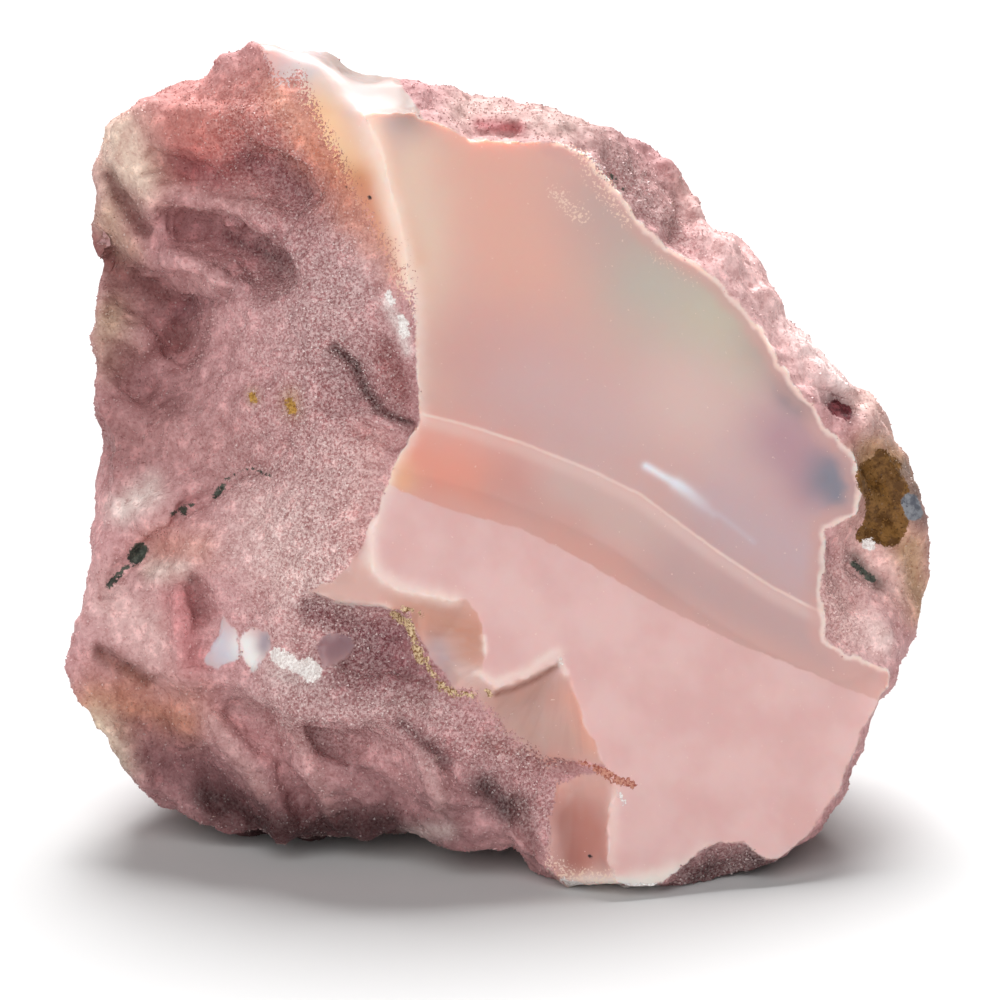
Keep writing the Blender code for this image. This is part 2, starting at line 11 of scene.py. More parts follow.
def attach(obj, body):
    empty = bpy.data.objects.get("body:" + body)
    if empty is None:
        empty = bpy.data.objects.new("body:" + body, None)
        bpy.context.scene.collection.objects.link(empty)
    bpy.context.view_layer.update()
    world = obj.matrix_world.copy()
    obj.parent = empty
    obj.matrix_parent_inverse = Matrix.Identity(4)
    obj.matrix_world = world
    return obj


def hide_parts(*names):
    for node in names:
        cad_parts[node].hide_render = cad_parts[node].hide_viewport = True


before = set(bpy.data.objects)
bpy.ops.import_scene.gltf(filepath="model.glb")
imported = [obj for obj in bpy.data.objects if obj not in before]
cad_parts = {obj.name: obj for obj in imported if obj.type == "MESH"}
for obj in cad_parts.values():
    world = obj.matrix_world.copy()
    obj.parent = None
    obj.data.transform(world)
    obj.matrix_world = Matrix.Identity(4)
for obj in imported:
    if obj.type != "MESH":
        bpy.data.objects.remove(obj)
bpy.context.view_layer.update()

mm = 0.001

# How the stone shows itself. The camera leans down by the tilt, and looks at the height "middle" from the
# distance. "footShift" is the place of the stone's foot in its own drawing.
look = {
    "tilt": math.radians(15.0),
    "distance": 300.0,
    "middle": 19.5,
    "footShift": (0.066, 16.669, -0.65),
    "lens": 216.0,
}


def toSeen(points):
    x, y, z = (np.asarray(points, float) / mm + look["footShift"]).T
    lean, level = math.sin(look["tilt"]), math.cos(look["tilt"])
    deep = y * level - z * lean
    rise = y * lean + z * level
    widening = 1.0 + deep / look["distance"]
    return np.column_stack([x / widening, look["middle"] + (rise - look["middle"]) / widening, deep])


def toPlace(seen):
    across, up, deep = np.asarray(seen, float).T
    lean, level = math.sin(look["tilt"]), math.cos(look["tilt"])
    widening = 1.0 + deep / look["distance"]
    rise = look["middle"] + (up - look["middle"]) * widening
    place = np.column_stack([across * widening, rise * lean + deep * level, rise * level - deep * lean])
    return (place - look["footShift"]) * mm


def smooth(t):
    t = np.clip(t, 0.0, 1.0)
    return t * t * (3.0 - 2.0 * t)


def gapTo(spots, line, closed=False):
    # distance of each spot from a run of points, and where along it the nearest point is
    ends = np.array(line + ([line[0]] if closed else []), float)
    nearest, place = np.full(len(spots), np.inf), np.zeros(len(spots))
    for i, (start, run) in enumerate(zip(ends[:-1], np.diff(ends, axis=0))):
        share = np.clip(((spots - start) @ run) / max(run @ run, 1e-12), 0.0, 1.0)
        gap = np.linalg.norm(spots - (start + share[:, None] * run), axis=1)
        closer = gap < nearest
        nearest[closer], place[closer] = gap[closer], (i + share)[closer]
    return nearest, place


def gapAcross(spots, line):
    # signed distance from a line that runs left to right: above it is positive
    gap, _ = gapTo(spots, line)
    run = np.array(line, float)
    return np.where(spots[:, 1] > np.interp(spots[:, 0], run[:, 0], run[:, 1]), gap, -gap)


def gapInside(spots, outline):
    # signed distance from a closed outline: inside it is positive
    gap, _ = gapTo(spots, outline, closed=True)
    x, y = spots.T
    inside = np.zeros(len(spots), bool)
    for (x0, y0), (x1, y1) in zip(outline, outline[1:] + outline[:1]):
        if y0 != y1:
            inside ^= ((y0 > y) != (y1 > y)) & (x < (x1 - x0) * (y - y0) / (y1 - y0) + x0)
    return np.where(inside, gap, -gap)


def lumpy(points, size, octaves, place=0.0):
    shift = Vector((31.0 + place, 7.0, 53.0))
    return np.array([noise.fractal(Vector(p / size) + shift, 1.0, 2.0, octaves) for p in points])


def crackled(points, size, place=0.0):
    # 0 in the middle of each chip, about 1 on the ridges between chips
    shift = Vector((31.0 + place, 7.0, 53.0))
    return np.array([noise.voronoi(Vector(p / size) + shift)[0][0] for p in points])


def tone(shade):
    # a hex shade as linear colour
    parts = np.array([int(shade[i : i + 2], 16) for i in (0, 2, 4)]) / 255.0
    return np.where(parts <= 0.04045, parts / 12.92, ((parts + 0.055) / 1.055) ** 2.4)


def meshPoints(mesh, kind="co"):
    values = np.empty(len(mesh.vertices) * 3)
    (mesh.vertices if kind == "co" else mesh.vertex_normals).foreach_get(kind, values)
    return values.reshape(-1, 3)


def setPoints(mesh, points):
    mesh.vertices.foreach_set("co", np.asarray(points, np.float32).ravel())
    mesh.update()


def keep(mesh, name, values):
    kind = "FLOAT" if values.ndim == 1 else "FLOAT_COLOR"
    attribute = mesh.attributes.new(name, kind, "POINT")
    if kind == "FLOAT":
        attribute.data.foreach_set("value", values.astype(np.float32))
    else:
        full = np.column_stack([values, np.ones(len(values))])
        attribute.data.foreach_set("color", full.astype(np.float32).ravel())


def facing(normals):
    return normals @ np.array([0.0, -math.cos(look["tilt"]), math.sin(look["tilt"])])


def linked(obj):
    bpy.context.scene.collection.objects.link(obj)
    return obj


def baked(obj):
    # the object's mesh with its modifiers applied
    graph = bpy.context.evaluated_depsgraph_get()
    mesh = bpy.data.meshes.new_from_object(obj.evaluated_get(graph))
    obj.modifiers.clear()
    obj.data = mesh
    return mesh


# The broken face
face = {
    "outline": [
        (-6.8, 38.8), (-5.8, 36.5), (-5.0, 33.0), (-4.4, 29.8), (-4.1, 26.5), (-4.1, 23.2), (-5.4, 21.0),
        (-6.0, 19.2), (-6.5, 17.2), (-6.3, 15.9), (-5.2, 15.0), (-3.6, 14.7), (-1.7, 14.5), (-0.9, 13.2),
        (-0.7, 12.0), (-1.0, 10.7), (-0.4, 10.1), (0.8, 10.4), (1.9, 10.9), (3.1, 11.6), (3.8, 9.5),
        (4.5, 7.6), (5.3, 6.1), (5.7, 5.3), (5.4, 3.2), (5.4, 1.4), (5.9, 0.4), (7.6, 0.1), (8.8, 0.9),
        (9.9, 1.9), (10.8, 2.4), (12.2, 2.4), (12.9, 1.7), (14.0, 1.6), (15.4, 2.7), (17.0, 5.2),
        (18.1, 8.0), (19.4, 10.2), (19.4, 11.0), (17.7, 11.7), (16.3, 12.5), (16.1, 14.6), (16.3, 18.1),
        (17.8, 18.8), (18.1, 20.3), (17.5, 22.0), (16.2, 23.2), (15.6, 24.4), (14.6, 25.4), (13.4, 27.6),
        (12.0, 29.4), (10.4, 31.0), (8.4, 32.1), (6.9, 33.5), (5.7, 35.2), (4.6, 36.6), (2.8, 37.4),
        (0.4, 37.4), (-1.6, 37.6), (-2.4, 38.0), (-4.4, 38.8),
    ],
    "crest": [(-4.6, 24.0), (-1.5, 23.2), (1.0, 22.4), (4.5, 21.0), (7.0, 19.8), (10.5, 17.2), (13.5, 15.2),
              (17.0, 13.4)],
    # the face's plane, the hollow above its crest, and the band below it
    "deep": 0.2,
    "turn": 0.27,
    "lean": 0.085,
    "hollow": 0.95,
    "hollowReach": 3.6,
    "bandSlope": 0.2,
    "bandWidth": 3.0,
    "bandFade": 6.0,
    # how near a point must be, and how squarely it must face the eye, to be drawn onto the outline
    "snap": 0.1,
    "snapReach": 0.4,
    "snapFront": 0.9,
    # the same for a point that is laid on the face, and how near the outline that eases off
    "reach": 1.2,
    "reachFront": 0.3,
    "ease": 0.25,
    # size and reach of the outline's wander, coarse and fine
    "ragged": ((1.1, 0.17), (0.4, 0.07)),
}


def faceDeep(spots):
    across, up = spots.T
    gap = gapAcross(spots, face["crest"])
    reach = np.abs(gap) / face["hollowReach"]
    hollow = face["hollow"] * reach * np.exp(1.0 - reach)
    beyond = np.maximum(-gap - face["bandWidth"], 0.0)
    band = face["bandSlope"] * np.minimum(-gap, face["bandWidth"]) * np.exp(-beyond / face["bandFade"])
    flat = face["deep"] + face["turn"] * across + face["lean"] * (up - look["middle"])
    return flat + np.where(gap > 0, hollow, band)


stone = {
    # points nearer than this are one, and how even and fine the stone's own mesh is
    "merge": 0.002,
    "cell": 0.18,
    "quickCoarser": 1.6,
    "smoothing": 7,
    "triangles": 190000,
    "sharpAngle": math.radians(55.0),
    # size and height of each kind of bump, and of the creases' wander
    "lump": (2.6, 0.3),
    "knob": (0.9, 0.16),
    "crumb": (0.4, 0.04),
    "opalWave": (3.5, 0.03),
    "creaseWander": (1.1, 0.22),
    # how squarely a place faces the eye, or turns away from it, before it counts in full
    "frontFade": 0.4,
    "backFade": 0.3,
    # how wide the change from rock to smooth opal is
    "rockFade": 0.4,
    # how far in from a chip's edge, and out from the face, its flutes begin, and how long they are drawn out
    "chipReach": 0.35,
    "fluteFade": 0.2,
    "fluteStretch": 0.25,
    # rounds of smoothing over the chamfer, and how far in from its edge they work in full
    "calming": 60,
    "calmReach": 0.8,
    # smooth opal outside the face: the chamfer at the top left, the tongue, chipped edges and small lenses
    "patches": {
        "chamfer": [(-12.0, 42.2), (-11.2, 40.4), (-10.5, 40.5), (-10.0, 40.9), (-9.6, 39.6), (-8.7, 37.8),
            (-7.9, 36.4), (-6.9, 34.4), (-5.8, 32.3), (-4.6, 29.6), (-3.9, 30.4), (-4.4, 33.2), (-5.2, 36.4),
            (-6.1, 38.4), (-3.6, 38.4), (-5.2, 40.6), (-9.0, 43.0), (-12.6, 43.6)],
        "tongue": [(-9.5, 14.9), (-8.4, 15.5), (-7.5, 16.2), (-6.8, 17.4), (-6.3, 18.8), (-5.0, 16.4),
            (-1.4, 14.9), (-4.2, 14.1), (-5.6, 14.1), (-7.8, 14.3)],
        "upperChip": [(-5.0, 14.9), (-1.1, 14.9), (-0.2, 12.0), (-0.6, 9.9), (-2.4, 10.1), (-3.5, 11.6),
            (-4.2, 13.2)],
        "lowerChip": [(-1.3, 10.0), (0.6, 10.8), (3.3, 12.1), (6.0, 6.2), (4.4, 6.4), (2.1, 6.5),
            (0.3, 8.0)],
        "endChip": [(2.9, 5.3), (4.2, 5.8), (5.8, 6.0), (6.4, 0.4), (5.0, -0.2), (3.0, -0.2), (2.4, 1.2),
            (2.5, 3.4)],
        "window": [(-14.7, 11.4), (-13.9, 13.6), (-13.1, 12.9), (-13.1, 11.6), (-14.1, 11.0)],
        "wedge": [(-13.0, 12.6), (-12.4, 13.1), (-11.5, 13.0), (-11.5, 12.3), (-11.9, 11.4), (-12.4, 10.8),
            (-12.9, 11.6)],
        "lens": [(-9.2, 12.1), (-8.9, 12.5), (-8.3, 12.8), (-7.5, 12.7), (-7.2, 12.2), (-7.7, 11.6),
            (-8.8, 11.1)],
    },
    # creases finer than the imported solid's: a run of points, width and depth. A depth below 0 is a rib.
    "creases": [
        ([(-17.2, 36.8), (-15.2, 36.0), (-14.2, 35.4)], 0.4, 0.5),
        ([(-13.3, 37.8), (-11.9, 36.9), (-10.7, 36.4), (-9.8, 35.5), (-9.4, 34.8)], 0.4, 0.5),
        ([(-12.0, 36.0), (-10.4, 35.0)], 1.2, 0.4),
        ([(-15.4, 38.8), (-12.4, 38.6), (-10.6, 37.6)], 0.8, -0.35),
        ([(-17.0, 34.9), (-14.8, 34.4), (-12.8, 34.1), (-11.3, 33.1), (-10.1, 31.5)], 0.6, -0.4),
        ([(-16.2, 33.3), (-14.2, 33.2), (-12.6, 32.3), (-11.0, 31.3)], 0.8, 0.8),
        ([(-16.2, 33.9), (-14.2, 33.8), (-13.2, 33.0), (-12.1, 32.3), (-10.9, 31.8),
            (-11.0, 31.0)], 0.28, 0.4),
        ([(-16.2, 31.7), (-14.6, 31.0), (-13.4, 30.6)], 0.5, -0.35),
        ([(-19.6, 35.8), (-18.9, 34.5), (-17.8, 33.0)], 0.3, 0.5),
        ([(-20.2, 32.2), (-19.0, 31.0), (-17.5, 30.2), (-16.1, 29.9), (-15.9, 28.8),
            (-16.2, 27.0)], 0.8, 0.8),
        ([(-15.9, 28.9), (-14.5, 29.2), (-13.5, 29.9), (-13.4, 30.8)], 0.35, 0.5),
        ([(-19.0, 28.2), (-17.8, 27.6)], 0.8, -0.25),
        ([(-19.2, 26.8), (-17.8, 24.9)], 0.7, 0.45),
        ([(-17.0, 24.6), (-14.8, 25.4)], 0.9, -0.3),
        ([(-8.3, 27.1), (-7.2, 26.3), (-6.8, 25.1), (-6.0, 24.0), (-4.5, 23.3)], 0.26, 0.6),
        ([(-8.6, 28.4), (-7.6, 27.8)], 0.25, 0.25),
        ([(-5.8, 26.8), (-5.1, 24.9)], 0.6, -0.45),
        ([(-8.6, 24.4), (-7.2, 23.2), (-5.4, 22.6)], 0.45, 0.3),
        ([(-10.7, 22.4), (-11.9, 21.0), (-12.6, 21.1), (-13.7, 20.4), (-15.9, 18.9), (-18.0, 16.8),
            (-19.8, 15.1)], 0.3, 0.4),
        ([(-16.6, 18.2), (-14.6, 17.6)], 0.8, -0.35),
        ([(-15.4, 15.4), (-14.9, 13.7)], 0.3, 0.5),
        ([(-16.1, 14.8), (-15.9, 11.8)], 0.5, -0.45),
        ([(-16.9, 14.6), (-16.7, 12.2)], 0.25, 0.3),
        ([(-19.9, 11.8), (-17.8, 10.5)], 0.35, 0.6),
        ([(-17.2, 11.1), (-12.8, 10.6), (-10.4, 9.2), (-7.4, 8.8), (-4.2, 9.4)], 0.45, -0.4),
        ([(-18.6, 10.2), (-15.6, 9.3), (-12.6, 9.1), (-10.6, 7.9), (-7.4, 7.5)], 0.6, 0.4),
        ([(-9.2, 14.3), (-7.0, 13.7), (-5.2, 13.5)], 0.45, 0.55),
        ([(-7.6, 11.2), (-5.4, 11.4), (-3.6, 10.8)], 0.4, 0.4),
        ([(-15.4, 6.9), (-13.4, 3.3)], 0.6, 0.5),
        ([(-14.2, 8.6), (-12.4, 5.6), (-10.8, 3.0)], 0.6, -0.45),
        ([(-10.6, 8.4), (-8.2, 3.2)], 0.5, -0.4),
        ([(-9.2, 7.6), (-7.2, 6.0), (-5.4, 4.5)], 0.5, 0.42),
        ([(-4.8, 8.2), (-3.6, 7.2), (-2.6, 6.4)], 0.35, 0.5),
        ([(-3.9, 7.2), (-3.0, 4.4)], 0.35, -0.45),
        ([(-6.4, 6.4), (-5.7, 5.2)], 0.35, 0.35),
        ([(-0.4, 5.4), (0.2, 4.3)], 0.3, 0.4),
        ([(1.0, 4.4), (1.7, 1.8)], 0.3, 0.4),
        ([(5.5, 35.8), (6.0, 35.0)], 0.18, 0.35),
        ([(7.5, 37.0), (9.5, 33.5)], 0.5, 0.4),
        ([(8.6, 36.4), (9.8, 34.2)], 0.5, -0.3),
        ([(-1.4, 37.6), (0.6, 37.9)], 0.3, 0.35),
        ([(12.2, 32.4), (12.8, 30.4)], 0.5, 0.4),
        ([(15.2, 28.6), (15.8, 26.8)], 0.5, 0.4),
        ([(16.2, 24.6), (17.8, 23.8)], 0.9, -0.7),
        ([(16.6, 24.3), (17.4, 23.9)], 0.4, 0.3),
        ([(18.6, 20.4), (19.6, 19.4), (19.4, 18.2)], 0.8, 0.35),
        ([(17.6, 16.2), (18.8, 15.2)], 0.35, 0.35),
    ],
    # the chips' faint flutes: where they spread from, how close together they are, and their height
    "flutes": {
        "upperChip": ((2.4, 12.6), 16.0, 0.035),
        "lowerChip": ((3.4, 12.4), 11.0, 0.035),
        "endChip": ((4.0, 10.0), 7.0, 0.012),
    },
    # clean scars on the back: across, up, deep and radius of each
    "scars": [
        (8.0, 23.0, 24.5, 4.6), (2.0, 17.0, 27.5, 2.6), (-2.0, 38.0, 16.0, 3.0), (-10.0, 24.0, 25.5, 2.6),
    ],
    # size and reach of the scars' ragged outline
    "scarRagged": (4.2, 3.4),
}


def strays(points, size):
    # how far each point strays across and up
    return np.column_stack([lumpy(points, size, 2, 3.0), lumpy(points, size, 2, 6.0)])


def strayed(seen):
    # the points' places across and up, moved a little so that every edge drawn on them is ragged
    flat = np.column_stack([seen[:, :2], np.zeros(len(seen))])
    spots = seen[:, :2].copy()
    for size, reach in face["ragged"]:
        spots += reach * strays(flat, size)
    return spots


def patchGaps(seen):
    # how far inside the face, and inside any smooth opal, each point is
    spots = strayed(seen)
    faceGap = gapInside(spots, face["outline"])
    patchGap = np.max([gapInside(spots, outline) for outline in stone["patches"].values()], axis=0)
    return faceGap, patchGap


def fluting(seen, faceGap):
    # the height of the chips' flutes at each point
    height = np.zeros(len(seen))
    for name, ((across, up), count, rise) in stone["flutes"].items():
        inside = smooth(gapInside(seen[:, :2], stone["patches"][name]) / stone["chipReach"])
        inside = inside * smooth(-faceGap / stone["fluteFade"])
        angle = np.arctan2(up - seen[:, 1], across - seen[:, 0])
        reach = np.hypot(up - seen[:, 1], across - seen[:, 0])
        flat = np.column_stack([angle * count, reach * stone["fluteStretch"], np.zeros(len(seen))])
        ribs = lumpy(flat, 1.0, 2, 4.0)
        height += rise * ribs * inside
    return height


def scarGap(seen):
    # the clean flake scars on the stone's back are opal too
    drawn = toPlace(seen) / mm
    middles = [(toPlace([place])[0] / mm, radius) for *place, radius in stone["scars"]]
    gaps = [radius - np.linalg.norm(drawn - middle, axis=1) for middle, radius in middles]
    size, reach = stone["scarRagged"]
    return np.max(gaps, axis=0) + reach * lumpy(seen, size, 3, 30.0)


def denseStone():
    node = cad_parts["rough_opal"]
    shell = bmesh.new()
    shell.from_mesh(node.data)
    bmesh.ops.remove_doubles(shell, verts=shell.verts, dist=stone["merge"] * mm)
    mesh = bpy.data.meshes.new("opalStone")
    shell.to_mesh(mesh)
    shell.free()
    obj = linked(bpy.data.objects.new("opalStone", mesh))
    even = obj.modifiers.new("even", "REMESH")
    even.mode = "VOXEL"
    even.voxel_size = stone["cell"] * 1.0 * mm
    soften = obj.modifiers.new("soften", "SMOOTH")
    soften.factor = 0.5
    soften.iterations = stone["smoothing"]
    baked(obj)
    return obj


def shapeStone(obj):
    mesh = obj.data
    points, normals = meshPoints(mesh), meshPoints(mesh, "vector")
    seen = toSeen(points)
    front = smooth(facing(normals) / stone["frontFade"])
    back = smooth(-facing(normals) / stone["backFade"])
    faceGap, patchGap = patchGaps(seen)
    opalInFront = smooth(np.maximum(faceGap, patchGap) / stone["rockFade"] + 0.5) * front
    rock = 1.0 - np.maximum(opalInFront, smooth(scarGap(seen)) * back)
    height = np.zeros(len(points))
    for name, octaves in (("lump", 2), ("knob", 2)):
        size, rise = stone[name]
        height += rise * lumpy(seen, size, octaves) * rock
    size, rise = stone["crumb"]
    height += rise * (1.2 - 2.2 * crackled(seen, size)) * rock
    size, rise = stone["opalWave"]
    height += rise * lumpy(seen, size, 1, 9.0) * (1.0 - rock)
    size, reach = stone["creaseWander"]
    spots = seen[:, :2] + reach * strays(seen, size)
    for line, width, depth in stone["creases"]:
        gap, _ = gapTo(spots, line)
        height -= depth * np.exp(-((gap / width) ** 2)) * rock * front
    height += fluting(seen, faceGap) * front
    points = points + normals * (height * mm)[:, None]
    seen = toSeen(points)
    # lay the face on its own surface, and draw the points beside its outline onto it
    spots = strayed(seen)
    gap, place = gapTo(spots, face["outline"], closed=True)
    corners = np.array(face["outline"] + face["outline"][:1])
    target = faceDeep(seen[:, :2])
    near = (gap < face["snap"]) & (front > face["snapFront"])
    near &= np.abs(seen[:, 2] - target) < face["snapReach"]
    for axis in (0, 1):
        edge = np.interp(place[near], np.arange(len(corners)), corners[:, axis])
        seen[near, axis] += edge - spots[near, axis]
    inside = (gapInside(spots, face["outline"]) > 0) | near
    target = faceDeep(seen[:, :2])
    onto = inside & (front > face["reachFront"]) & (np.abs(seen[:, 2] - target) < face["reach"])
    ease = np.where(near, 1.0, smooth(gap / face["ease"]))
    seen[:, 2] = np.where(onto, seen[:, 2] + (target - seen[:, 2]) * ease, seen[:, 2])
    setPoints(mesh, toPlace(seen))


def grouped(obj, name, weights):
    # a vertex group that holds the weights in tenths
    group = obj.vertex_groups.new(name=name)
    for step in range(1, 11):
        chosen = np.nonzero(np.round(weights * 10) == step)[0]
        group.add(chosen.tolist(), step / 10.0, "REPLACE")


def calmChamfer(obj):
    # ease the chamfer's folds, but not the edge that it shares with the face
    spots = toSeen(meshPoints(obj.data))[:, :2]
    inside = smooth(gapInside(spots, stone["patches"]["chamfer"]) / stone["calmReach"])
    apart = smooth(-gapInside(spots, face["outline"]) / stone["calmReach"])
    turned = smooth(facing(meshPoints(obj.data, "vector")) / 0.4 + 0.8)
    grouped(obj, "chamfer", inside * apart * turned)
    calm = obj.modifiers.new("calm", "SMOOTH")
    calm.factor = 0.5
    calm.iterations = stone["calming"]
    calm.vertex_group = "chamfer"
    baked(obj)


def thinBack(obj):
    mesh = obj.data
    grouped(obj, "back", np.clip(1.0 - 3.0 * (facing(meshPoints(mesh, "vector")) + 0.1), 0.0, 1.0))
    shell = bmesh.new()
    shell.from_mesh(mesh)
    bmesh.ops.triangulate(shell, faces=shell.faces)
    shell.to_mesh(mesh)
    shell.free()
    if len(mesh.polygons) > stone["triangles"]:
        fewer = obj.modifiers.new("fewer", "DECIMATE")
        fewer.ratio = stone["triangles"] / len(mesh.polygons)
        fewer.vertex_group = "back"
        baked(obj)
    obj.vertex_groups.clear()


